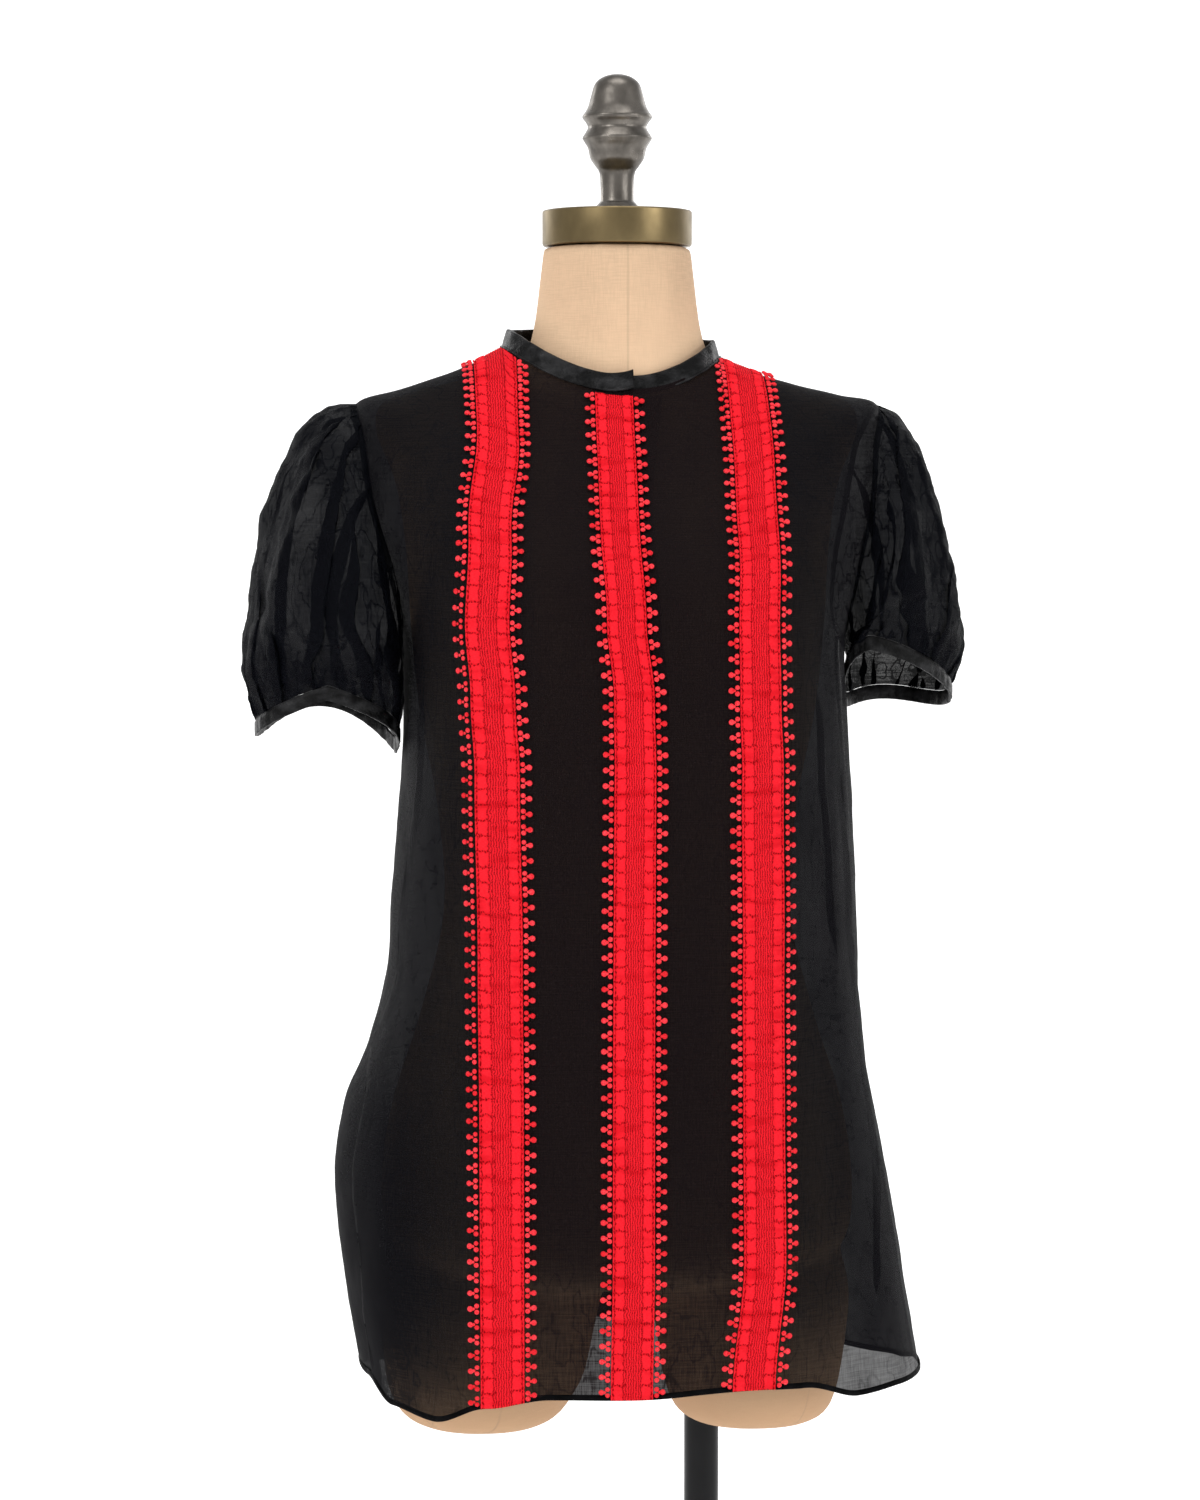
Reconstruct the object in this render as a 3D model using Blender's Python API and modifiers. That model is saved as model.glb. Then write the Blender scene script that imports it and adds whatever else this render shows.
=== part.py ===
# Lace blouse on a dress form. A sheer short-sleeved blouse with three bands of lace hangs on a
# limbless form, which stands on a pole and a round foot.
# Metres, +Z up. The front faces -Y, and left and right are the viewer's own.
# The origin is the middle of the foot's underside, on the floor.

import bisect
import math

import bmesh
import bpy
from mathutils import Vector
from mathutils.bvhtree import BVHTree

# Cloth and seams
CLOTH = 0.0012
BINDING = 0.0018
SEAM_HALF_GAP = 0.00045
LAYER_GAP = 0.0009
LACE_GAP = 0.0011
LACE_GAP_AT_SHOULDER = 0.0031
NECK_BAND_GAP = 0.0012

# Lace bands
LACE_THICKNESS = 0.0010
LACE_HALF_WIDTH = 0.0145
PICOT_REACH = 0.0083
PICOT_PITCH = 0.0101
LACE_SLANT_ROWS = 9
LACE_END_GAP = 0.0026

# Bindings at the neck and the cuffs
NECK_BAND_HEIGHT = 0.0108
NECK_BAND_LEAN = 0.30
CUFF_HEIGHT = 0.0100

# Front opening
SLIT_HALF_GAP = 0.0006
SLIT_FOOT_LEVEL = 9.0
UNDERLAP_REACH_TOP = 0.0286
UNDERLAP_REACH_FOOT = 0.0080
UNDERLAP_LEFT = -0.0100

# Stand and the metal on the neck
POLE_RADIUS = 0.0119
POLE_PLACE = (0.0605, 0.0200)
POLE_TOP = 0.7300
SOCKET_GAP = 0.0003
FOOT_RADIUS = 0.1750
FOOT_THICKNESS = 0.0080
HUB_RADIUS = 0.0230
HUB_HEIGHT = 0.0300
CAP_RADIUS = 0.0505
CAP_HEIGHT = 0.0240
NECK_TOP = 1.4685

# Rings of a body, from its lowest to its highest. Each ring passes through a point at each side,
# one at the front and one at the back. Widths and depths are measured from the Z axis, and
# roundness is the ring's exponent, 2 for an ellipse.
RING_COLUMNS = ("side_z", "left", "right", "front_z", "front", "back_z", "back", "roundness")
BLOUSE_RINGS = (
    (0.7110, 0.1770, 0.2080, 0.7110, 0.1370, 0.7110, 0.1300, 2.30),
    (0.7500, 0.1840, 0.2005, 0.7500, 0.1380, 0.7500, 0.1310, 2.30),
    (0.8000, 0.1910, 0.1920, 0.8000, 0.1390, 0.8000, 0.1300, 2.30),
    (0.8450, 0.1930, 0.1840, 0.8450, 0.1390, 0.8450, 0.1280, 2.30),
    (0.8900, 0.1860, 0.1750, 0.8900, 0.1390, 0.8900, 0.1250, 2.30),
    (0.9300, 0.1700, 0.1680, 0.9300, 0.1390, 0.9300, 0.1200, 2.30),
    (0.9750, 0.1580, 0.1640, 0.9750, 0.1400, 0.9750, 0.1150, 2.35),
    (1.0300, 0.1540, 0.1620, 1.0300, 0.1410, 1.0300, 0.1110, 2.40),
    (1.0900, 0.1490, 0.1590, 1.0900, 0.1430, 1.0900, 0.1090, 2.45),
    (1.1500, 0.1460, 0.1550, 1.1500, 0.1460, 1.1500, 0.1100, 2.50),
    (1.2050, 0.1470, 0.1530, 1.2050, 0.1475, 1.2050, 0.1130, 2.50),
    (1.2500, 0.1600, 0.1630, 1.2430, 0.1435, 1.2500, 0.1160, 2.45),
    (1.3000, 0.1770, 0.1760, 1.2700, 0.1285, 1.2900, 0.1150, 2.35),
    (1.3400, 0.1800, 0.1780, 1.2940, 0.1115, 1.3220, 0.1080, 2.25),
    (1.3635, 0.1765, 0.1765, 1.3120, 0.0990, 1.3450, 0.0990, 2.20),
    (1.3710, 0.1500, 0.1500, 1.3270, 0.0885, 1.3620, 0.0885, 2.15),
    (1.3795, 0.1200, 0.1195, 1.3425, 0.0780, 1.3780, 0.0770, 2.10),
    (1.3875, 0.0980, 0.0935, 1.3570, 0.0690, 1.3910, 0.0670, 2.10),
    (1.3968, 0.0785, 0.0695, 1.3683, 0.0605, 1.4020, 0.0585, 2.10),
)
FORM_RINGS = (
    (0.7440, 0.0300, 0.0300, 0.7440, 0.0250, 0.7440, 0.0300, 2.00),
    (0.7480, 0.0800, 0.0800, 0.7480, 0.0600, 0.7480, 0.0680, 2.10),
    (0.7620, 0.1280, 0.1280, 0.7620, 0.0900, 0.7620, 0.1000, 2.20),
    (0.7900, 0.1540, 0.1540, 0.7900, 0.1030, 0.7900, 0.1130, 2.25),
    (0.8350, 0.1610, 0.1610, 0.8350, 0.1060, 0.8350, 0.1160, 2.25),
    (0.8900, 0.1530, 0.1530, 0.8900, 0.1040, 0.8900, 0.1100, 2.20),
    (0.9500, 0.1340, 0.1340, 0.9500, 0.0970, 0.9500, 0.0950, 2.15),
    (1.0200, 0.1180, 0.1180, 1.0200, 0.0920, 1.0200, 0.0840, 2.10),
    (1.0900, 0.1220, 0.1220, 1.0900, 0.0990, 1.0900, 0.0880, 2.15),
    (1.1550, 0.1340, 0.1340, 1.1550, 0.1090, 1.1550, 0.0970, 2.20),
    (1.2150, 0.1400, 0.1400, 1.2120, 0.1140, 1.2150, 0.1030, 2.20),
    (1.2650, 0.1430, 0.1430, 1.2500, 0.1060, 1.2600, 0.1060, 2.20),
    (1.3100, 0.1500, 0.1500, 1.2800, 0.0930, 1.3000, 0.1020, 2.15),
    (1.3440, 0.1630, 0.1630, 1.3050, 0.0820, 1.3300, 0.0930, 2.10),
    (1.3625, 0.1600, 0.1600, 1.3230, 0.0730, 1.3480, 0.0840, 2.10),
    (1.3702, 0.1400, 0.1400, 1.3360, 0.0660, 1.3600, 0.0750, 2.05),
    (1.3774, 0.1120, 0.1120, 1.3460, 0.0600, 1.3700, 0.0655, 2.00),
    (1.3850, 0.0825, 0.0825, 1.3550, 0.0550, 1.3800, 0.0580, 2.00),
    (1.3945, 0.0635, 0.0635, 1.3690, 0.0510, 1.3930, 0.0535, 2.00),
    (1.4150, 0.0562, 0.0562, 1.3950, 0.0485, 1.4130, 0.0505, 2.00),
    (1.4430, 0.0525, 0.0525, 1.4320, 0.0485, 1.4410, 0.0490, 2.00),
    (1.4685, 0.0494, 0.0494, 1.4685, 0.0494, 1.4685, 0.0494, 2.00),
)
UNDERARM_LEVEL = 10.0
SHOULDER_LEVEL = 14.0
NECK_LEVEL = 18.0

# The bust. The form's swells at two places, and cloth hangs straight down from its own two.
BUST_COLUMNS = ("reach_x", "height", "swell", "spread", "rise", "fall")
FORM_BUST = (0.086, 1.225, 0.0400, 0.040, 0.050, 0.050)
BLOUSE_BUST = (0.090, 1.228, 0.0155, 0.045, 0.045, 0.230)

# The shoulders slope unevenly: how far the right side lies above its ring, and the left below it
SLOPE_COLUMNS = ("level", "lift")
SHOULDER_SLOPE = (
    (14.0, 0.0000),
    (15.0, -0.0010),
    (16.0, -0.0024),
    (17.0, -0.0030),
    (18.0, -0.0033),
)

# Height of the hem above or below its ring, by angle from the front, in degrees
HEM_COLUMNS = ("angle", "lift")
HEM_LINE = (
    (-180, 0.002),
    (-160, -0.002),
    (-140, -0.011),
    (-120, -0.014),
    (-105, -0.009),
    (-90, 0.002),
    (-75, 0.000),
    (-60, -0.014),
    (-45, -0.018),
    (-30, -0.006),
    (-15, 0.000),
    (0, 0.000),
    (20, 0.004),
    (30, 0.003),
    (45, -0.008),
    (60, -0.005),
    (90, -0.005),
    (105, -0.011),
    (120, -0.013),
    (140, -0.010),
    (160, -0.002),
    (180, 0.002),
)
HEM_FADE_LEVELS = 3.0

# The largest folds of the body, each along a straight line. A negative swell is a trough.
FOLD_COLUMNS = ("is_back", "top_x", "top_z", "foot_x", "foot_z", "half_width", "swell")
BODY_FOLDS = (
    (False, -0.128, 1.170, -0.168, 0.800, 0.013, 0.0085),
    (False, -0.112, 1.120, -0.140, 0.730, 0.015, -0.0060),
    (False, 0.132, 1.150, 0.188, 0.730, 0.015, 0.0090),
    (False, 0.115, 1.060, 0.150, 0.720, 0.016, -0.0065),
    (False, -0.046, 1.140, -0.045, 0.715, 0.022, -0.0035),
    (False, 0.042, 1.140, 0.043, 0.715, 0.022, -0.0040),
    (False, -0.118, 0.860, -0.122, 0.705, 0.020, 0.0100),
    (True, -0.120, 1.150, -0.135, 0.715, 0.018, 0.0090),
    (True, -0.070, 1.200, -0.080, 0.715, 0.017, -0.0070),
    (True, -0.028, 1.240, -0.030, 0.715, 0.017, 0.0080),
    (True, 0.022, 1.240, 0.020, 0.715, 0.016, -0.0060),
    (True, 0.068, 1.210, 0.074, 0.715, 0.018, 0.0085),
    (True, 0.120, 1.160, 0.132, 0.715, 0.018, -0.0060),
)
FOLD_FADE = 0.090

# Middle line of each lace band: its distance from the middle, at heights up the front
LACE_PATH_COLUMNS = ("height", "left", "centre", "right")
LACE_PATH = (
    (0.711, -0.0860, -0.0020, 0.0790),
    (0.800, -0.0865, -0.0010, 0.0860),
    (0.900, -0.0865, -0.0010, 0.0850),
    (1.000, -0.0870, -0.0010, 0.0840),
    (1.120, -0.0900, -0.0010, 0.0820),
    (1.170, -0.0930, -0.0020, 0.0800),
    (1.220, -0.0950, -0.0070, 0.0790),
    (1.270, -0.0920, -0.0090, 0.0810),
    (1.330, -0.0850, -0.0080, 0.0830),
    (1.400, -0.0825, -0.0070, 0.0840),
)

# Half angle of the armholes, and the rows and columns of the panels' grids. The front's columns
# run along the edges of the lace bands.
ARMHOLE_FRONT = math.radians(21)
ARMHOLE_BACK = math.radians(24)
HANGING_ROWS = (0.0, 0.6, 1.4, 2.3, 3.3, 4.4, 5.6, 6.8, 8.0, 9.0)
ARMHOLE_ROWS = (10.0, 10.4, 11.0, 11.8, 12.6, 13.4, 13.85, 14.0)
SHOULDER_ROWS = (14.7, 15.4, 16.1, 16.8, 17.4, 18.0)
PANEL_ROWS = HANGING_ROWS + ARMHOLE_ROWS + SHOULDER_ROWS
SIDE_CELLS = 7
LACE_CELLS = 2
BETWEEN_CELLS = 3
BACK_CELLS = 18

# Sleeves: four lines run from the armhole to the cuff, along the outside, the front, the inside
# next to the body, and the back. Distances across are from the Z axis, for either side. peak is how
# sharply the front half arches, from 2 down to 1, fullness is how far it is drawn to the body, and
# apex is how far out its highest place lies, as a share of the half width.
SLEEVE_COLUMNS = (
    "out_x", "out_z", "front_x", "front_y", "front_z", "in_x", "in_z", "back_x", "back_y", "back_z",
    "peak", "fullness", "apex",
)
LEFT_SLEEVE = (
    (0.1765, 1.3640, 0.1690, -0.052, 1.3000, 0.1475, 1.2060, 0.1650, 0.060, 1.3000, 2.00, 0.046, 0.00),
    (0.1960, 1.3600, 0.1830, -0.066, 1.2830, 0.1490, 1.1980, 0.1800, 0.072, 1.2830, 2.00, 0.046, 0.00),
    (0.2140, 1.3430, 0.1920, -0.075, 1.2620, 0.1495, 1.1910, 0.1920, 0.080, 1.2620, 2.00, 0.046, 0.00),
    (0.2280, 1.3110, 0.1980, -0.079, 1.2400, 0.1495, 1.1830, 0.1980, 0.084, 1.2380, 1.90, 0.046, 0.02),
    (0.2390, 1.2730, 0.2020, -0.080, 1.2180, 0.1495, 1.1740, 0.2010, 0.084, 1.2150, 1.70, 0.046, 0.05),
    (0.2470, 1.2320, 0.2040, -0.077, 1.2020, 0.1495, 1.1650, 0.2010, 0.080, 1.1960, 1.50, 0.046, 0.10),
    (0.2535, 1.1860, 0.2050, -0.068, 1.1870, 0.1495, 1.1520, 0.1990, 0.068, 1.1780, 1.25, 0.046, 0.15),
    (0.2450, 1.1490, 0.2060, -0.056, 1.1745, 0.1495, 1.1370, 0.1960, 0.054, 1.1660, 1.10, 0.046, 0.19),
)
RIGHT_SLEEVE = (
    (0.1765, 1.3640, 0.1700, -0.051, 1.3000, 0.1540, 1.2060, 0.1660, 0.060, 1.3000, 2.00, 0.014, 0.00),
    (0.1915, 1.3550, 0.1810, -0.064, 1.2850, 0.1575, 1.1990, 0.1800, 0.072, 1.2850, 2.00, 0.014, 0.00),
    (0.2040, 1.3350, 0.1870, -0.073, 1.2690, 0.1580, 1.1960, 0.1900, 0.080, 1.2650, 2.00, 0.014, 0.00),
    (0.2140, 1.3050, 0.1900, -0.077, 1.2550, 0.1585, 1.1920, 0.1950, 0.083, 1.2430, 1.90, 0.014, -0.05),
    (0.2230, 1.2710, 0.1900, -0.077, 1.2430, 0.1595, 1.1880, 0.1970, 0.083, 1.2220, 1.75, 0.014, -0.10),
    (0.2320, 1.2350, 0.1880, -0.073, 1.2320, 0.1595, 1.1840, 0.1960, 0.079, 1.2010, 1.55, 0.014, -0.15),
    (0.2370, 1.1970, 0.1840, -0.063, 1.2220, 0.1595, 1.1800, 0.1930, 0.067, 1.1820, 1.30, 0.014, -0.15),
    (0.2300, 1.1720, 0.1780, -0.054, 1.2080, 0.1585, 1.1710, 0.1900, 0.053, 1.1700, 1.30, 0.014, -0.15),
)
SLEEVE_SIDES = {"left": (-1.0, LEFT_SLEEVE), "right": (1.0, RIGHT_SLEEVE)}
SLEEVE_RINGS = 10
SLEEVE_POINTS = 38
SLEEVE_FOLDS = 8
SLEEVE_FOLD_SWELL = 0.0042

# Turned profile of the finial: radius and height above the cap, and rounding of the form's two
# thighs: share of the full radius and height above the floor
FINIAL_COLUMNS = ("radius", "height")
FINIAL_PROFILE = (
    (0.0000, 0.0910),
    (0.0055, 0.0905),
    (0.0110, 0.0884),
    (0.0153, 0.0840),
    (0.0179, 0.0755),
    (0.0196, 0.0695),
    (0.0216, 0.0656),
    (0.0236, 0.0623),
    (0.0210, 0.0584),
    (0.0198, 0.0551),
    (0.0224, 0.0502),
    (0.0235, 0.0482),
    (0.0222, 0.0457),
    (0.0198, 0.0414),
    (0.0181, 0.0347),
    (0.0148, 0.0295),
    (0.0124, 0.0261),
    (0.0115, 0.0210),
    (0.0112, 0.0074),
    (0.0124, 0.0047),
    (0.0155, 0.0014),
    (0.0155, 0.0000),
    (0.0000, 0.0000),
)
FINIAL_STEPS = 20
THIGH_COLUMNS = ("height", "share")
THIGH_ROUNDING = (
    (0.6690, 0.52),
    (0.6710, 0.72),
    (0.6780, 0.88),
    (0.6910, 0.97),
    (0.7150, 1.00),
    (0.7700, 0.97),
    (0.8100, 0.80),
)
THIGH_CENTRE = 0.0905
THIGH_HALF_WIDTH = 0.0610
THIGH_DEPTH = 0.0780
THIGH_POINTS = 20
FORM_POINTS = 28

# Colours: red, green, blue, then roughness and metallic
FINISHES = {
    "voile": (0.012, 0.012, 0.016, 0.75, 0.0),
    "binding": (0.010, 0.010, 0.012, 0.35, 0.0),
    "lace": (0.720, 0.010, 0.018, 0.80, 0.0),
    "linen": (0.560, 0.420, 0.290, 0.90, 0.0),
    "brass": (0.220, 0.170, 0.090, 0.38, 1.0),
    "pewter": (0.250, 0.235, 0.220, 0.36, 1.0),
    "black_steel": (0.010, 0.010, 0.011, 0.32, 0.2),
}


def clear_scene():
    for obj in list(bpy.data.objects):
        bpy.data.objects.remove(obj, do_unlink=True)


def finish(name):
    material = bpy.data.materials.get(name)
    if material is None:
        red, green, blue, roughness, metallic = FINISHES[name]
        material = bpy.data.materials.new(name)
        material.use_nodes = True
        shader = material.node_tree.nodes["Principled BSDF"]
        shader.inputs["Base Color"].default_value = (red, green, blue, 1.0)
        shader.inputs["Roughness"].default_value = roughness
        shader.inputs["Metallic"].default_value = metallic
    return material


def add_mesh(name, points, faces, material, collection):
    mesh = bpy.data.meshes.new(name)
    mesh.from_pydata([tuple(p) for p in points], [], faces)
    mesh.update()
    obj = bpy.data.objects.new(name, mesh)
    obj.data.materials.append(finish(material))
    collection.objects.link(obj)
    return obj


def thicken(obj, thickness, offset):
    """Makes a closed wall of an open surface: offset -1 puts it inside the surface, 1 outside."""
    wall = obj.modifiers.new("Wall", "SOLIDIFY")
    wall.thickness = thickness
    wall.offset = offset


def shade(obj, sharp_degrees=40):
    obj.data.shade_smooth()
    obj.data.set_sharp_from_angle(angle=math.radians(sharp_degrees))


def between_rows(rows, position):
    """A row of a table at a fractional position, on a smooth curve through all its rows."""
    last = len(rows) - 1
    position = min(max(position, 0.0), float(last))
    index = min(int(position), last - 1)
    t = position - index
    before, start = rows[max(index - 1, 0)], rows[index]
    end, after = rows[index + 1], rows[min(index + 2, last)]
    row = []
    for a, b, c, d in zip(before, start, end, after):
        leave, arrive = (c - a) / 2, (d - b) / 2
        row.append(
            (2 * t**3 - 3 * t**2 + 1) * b
            + (t**3 - 2 * t**2 + t) * leave
            + (3 * t**2 - 2 * t**3) * c
            + (t**3 - t**2) * arrive
        )
    return row


def by_first_column(rows, value):
    """The other columns of a table, straight between the two rows around a value of the first."""
    value = min(max(value, rows[0][0]), rows[-1][0])
    for low, high in zip(rows, rows[1:]):
        if value <= high[0]:
            share = (value - low[0]) / (high[0] - low[0])
            share = share * share * (3 - 2 * share)
            return [a + (b - a) * share for a, b in zip(low[1:], high[1:])]
    return list(rows[-1][1:])


def bell(distance, spread):
    return math.exp(-0.5 * (distance / spread) ** 2)


def signed_power(value, power):
    return math.copysign(abs(value) ** power, value)


def bust_swell(bust, x, z):
    reach, height, swell, spread, rise, fall = bust
    upright = bell(z - height, rise if z > height else fall)
    return swell * upright * (bell(x - reach, spread) + bell(x + reach, spread))


def fold_swell(x, z, at_back):
    total = 0.0
    for is_back, top_x, top_z, foot_x, foot_z, half_width, swell in BODY_FOLDS:
        if is_back != at_back:
            continue
        share = (top_z - z) / (top_z - foot_z)
        line_x = top_x + (foot_x - top_x) * share
        reach = min(max((top_z - z) / FOLD_FADE, 0.0), 1.0)
        total += swell * reach * bell(x - line_x, half_width)
    return total


def ring_point(rings, angle, level):
    """A point on a body's bare surface. The angle is 0 at the front and grows to the right."""
    ring = dict(zip(RING_COLUMNS, between_rows(rings, level)))
    across, along = math.sin(angle), math.cos(angle)
    power = 2.0 / ring["roundness"]
    half = ring["right"] if across > 0 else ring["left"]
    end = "front" if along > 0 else "back"
    x = half * signed_power(across, power)
    y = -ring[end] * signed_power(along, power)
    z = ring["side_z"] + (ring[end + "_z"] - ring["side_z"]) * along**2
    return Vector((x, y, z))


def form_point(angle, level):
    point = ring_point(FORM_RINGS, angle, level)
    if math.cos(angle) > 0:
        point.y -= bust_swell(FORM_BUST, point.x, point.z) * math.cos(angle)
    return point


def blouse_point(angle, level):
    point = ring_point(BLOUSE_RINGS, angle, level)
    facing = math.cos(angle)
    at_back = facing < 0
    swell = fold_swell(point.x, point.z, at_back)
    if not at_back:
        swell += bust_swell(BLOUSE_BUST, point.x, point.z)
    point.y -= swell * signed_power(facing, 0.5)
    fade = max(1.0 - level / HEM_FADE_LEVELS, 0.0)
    degrees = math.degrees(math.atan2(math.sin(angle), math.cos(angle)))
    point.z += by_first_column(HEM_LINE, degrees)[0] * fade * fade
    point.z += by_first_column(SHOULDER_SLOPE, level)[0] * math.sin(angle)
    return point


def blouse_offset(angle, level, out):
    """A point of the blouse's outer surface, moved out from it along its normal."""
    step = 0.02
    low, high = max(level - step, 0.0), min(level + step, NECK_LEVEL)
    along = blouse_point(angle + step, level) - blouse_point(angle - step, level)
    up = blouse_point(angle, high) - blouse_point(angle, low)
    return blouse_point(angle, level) + along.cross(up).normalized() * out


def angle_at(x, level):
    """The angle at the front where the blouse's ring is at x, or its side where x is wider."""
    ring = dict(zip(RING_COLUMNS, between_rows(BLOUSE_RINGS, level)))
    half = ring["right"] if x > 0 else ring["left"]
    across = min((abs(x) / half) ** (ring["roundness"] / 2), 1.0)
    return math.copysign(math.asin(across), x)


def armhole_angle(level, widest):
    """How far the armhole's edge lies from the side, which is 0 at its top and its foot."""
    middle = (UNDERARM_LEVEL + SHOULDER_LEVEL) / 2
    half = (SHOULDER_LEVEL - UNDERARM_LEVEL) / 2
    share = (level - middle) / half
    return widest * math.sqrt(max(1.0 - share * share, 0.0))


def lace_x(column, level):
    """The middle of a lace band at a level. Column 0 is the left band, 1 the centre, 2 the right."""
    return by_first_column(LACE_PATH, ring_point(BLOUSE_RINGS, 0.0, level).z)[column]


def spread_shares(start, end, cells):
    return [start + (end - start) * i / cells for i in range(cells + 1)]


def grid_faces(rows, columns, skip=(), closed=False):
    """Quads of a grid of points, row by row. skip holds (row, column) cells left open."""
    faces = []
    for row in range(rows - 1):
        for column in range(columns if closed else columns - 1):
            if (row, column) in skip:
                continue
            right = (column + 1) % columns
            low, high = row * columns, (row + 1) * columns
            faces.append((low + column, low + right, high + right, high + column))
    return faces


def split_faces(quads):
    """Two triangles for each quad, along the same diagonal every time."""
    return [corners for a, b, c, d in quads for corners in ((a, b, c), (a, c, d))]


def moved_back(point, distance):
    return Vector((point.x, point.y + distance, point.z))


def front_anchors(level):
    """Angles of the front's fixed columns at a level: its sides, the lace edges and the slit."""
    edge = math.pi / 2 - armhole_angle(level, ARMHOLE_FRONT)
    low = min(level, SHOULDER_LEVEL)
    left, centre, right = (lace_x(column, low) for column in range(3))
    slit = centre + LACE_HALF_WIDTH
    places = [
        left - LACE_HALF_WIDTH, left + LACE_HALF_WIDTH,
        centre - LACE_HALF_WIDTH, slit - SLIT_HALF_GAP,
        slit + SLIT_HALF_GAP,
        right - LACE_HALF_WIDTH, right + LACE_HALF_WIDTH,
    ]
    return [-edge] + [angle_at(x, low) for x in places] + [edge]


def front_grid():
    """Points of the front's outer surface, row by row, and its quads."""
    cells = (SIDE_CELLS, LACE_CELLS, BETWEEN_CELLS, LACE_CELLS, 1, BETWEEN_CELLS, LACE_CELLS, SIDE_CELLS)
    points = []
    for level in PANEL_ROWS:
        anchors = front_anchors(level)
        angles = [anchors[0]]
        for start, end, count in zip(anchors, anchors[1:], cells):
            angles += spread_shares(start, end, count)[1:]
        row = [blouse_point(angle, level) for angle in angles]
        row[0] = moved_back(row[0], -SEAM_HALF_GAP)
        row[-1] = moved_back(row[-1], -SEAM_HALF_GAP)
        points += row
    slit_column = sum(cells[:4])
    slit = {(r, slit_column) for r, level in enumerate(PANEL_ROWS) if level >= SLIT_FOOT_LEVEL}
    return points, sum(cells) + 1, slit


def build_front(collection):
    """The front is one panel, slit from the neck beside the middle band of lace."""
    points, columns, slit = front_grid()
    faces = split_faces(grid_faces(len(PANEL_ROWS), columns, skip=slit))
    front = add_mesh("front", points, faces, "voile", collection)
    thicken(front, CLOTH, -1)
    shade(front)


def build_back(collection):
    points = []
    for level in PANEL_ROWS:
        edge = math.pi / 2 + armhole_angle(level, ARMHOLE_BACK)
        angles = spread_shares(edge, 2 * math.pi - edge, BACK_CELLS)
        row = [blouse_point(angle, level) for angle in angles]
        row[0] = moved_back(row[0], SEAM_HALF_GAP)
        row[-1] = moved_back(row[-1], SEAM_HALF_GAP)
        points += row
    back = add_mesh("back", points, grid_faces(len(PANEL_ROWS), BACK_CELLS + 1), "voile", collection)
    thicken(back, CLOTH, -1)
    shade(back)


def build_underlap(collection):
    """The strip of doubled cloth that closes the slit from behind."""
    levels = [level for level in PANEL_ROWS if SLIT_FOOT_LEVEL <= level]
    levels[-1] -= 0.1
    cells = 3
    points = []
    for level in levels:
        share = (level - levels[0]) / (levels[-1] - levels[0])
        reach = UNDERLAP_REACH_FOOT + (UNDERLAP_REACH_TOP - UNDERLAP_REACH_FOOT) * share
        centre = lace_x(1, level)
        for x in spread_shares(centre + UNDERLAP_LEFT, centre + LACE_HALF_WIDTH + reach, cells):
            points.append(blouse_offset(angle_at(x, level), level, -CLOTH - LAYER_GAP))
    faces = grid_faces(len(levels), cells + 1)
    underlap = add_mesh("placket_underlap", points, faces, "voile", collection)
    thicken(underlap, CLOTH, -1)
    shade(underlap)


def lace_line(column, offset):
    """A line up the front at a distance from a band's middle: its lengths and its levels."""
    steps = 500
    top_x = LACE_PATH[-1][column + 1] + offset
    low, high = SHOULDER_LEVEL, NECK_LEVEL
    if abs(angle_at(top_x, NECK_LEVEL)) < math.pi / 2:
        low = NECK_LEVEL
    else:
        for _ in range(30):
            middle = (low + high) / 2
            inside = abs(angle_at(lace_x(column, middle) + offset, middle)) < math.pi / 2
            low, high = (middle, high) if inside else (low, middle)
    lengths, levels, last = [], [], None
    for i in range(steps + 1):
        level = low * (1 - (1 - i / steps) ** 2)
        point = blouse_point(angle_at(lace_x(column, level) + offset, level), level)
        lengths.append(lengths[-1] + (point - last).length if lengths else 0.0)
        levels.append(level)
        last = point
    return lengths, levels


def along(keys, values, key):
    """The value at a key, straight between the keys around it."""
    index = min(max(bisect.bisect_right(keys, key) - 1, 0), len(keys) - 2)
    share = (key - keys[index]) / (keys[index + 1] - keys[index])
    return values[index] + (values[index + 1] - values[index]) * share


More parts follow.
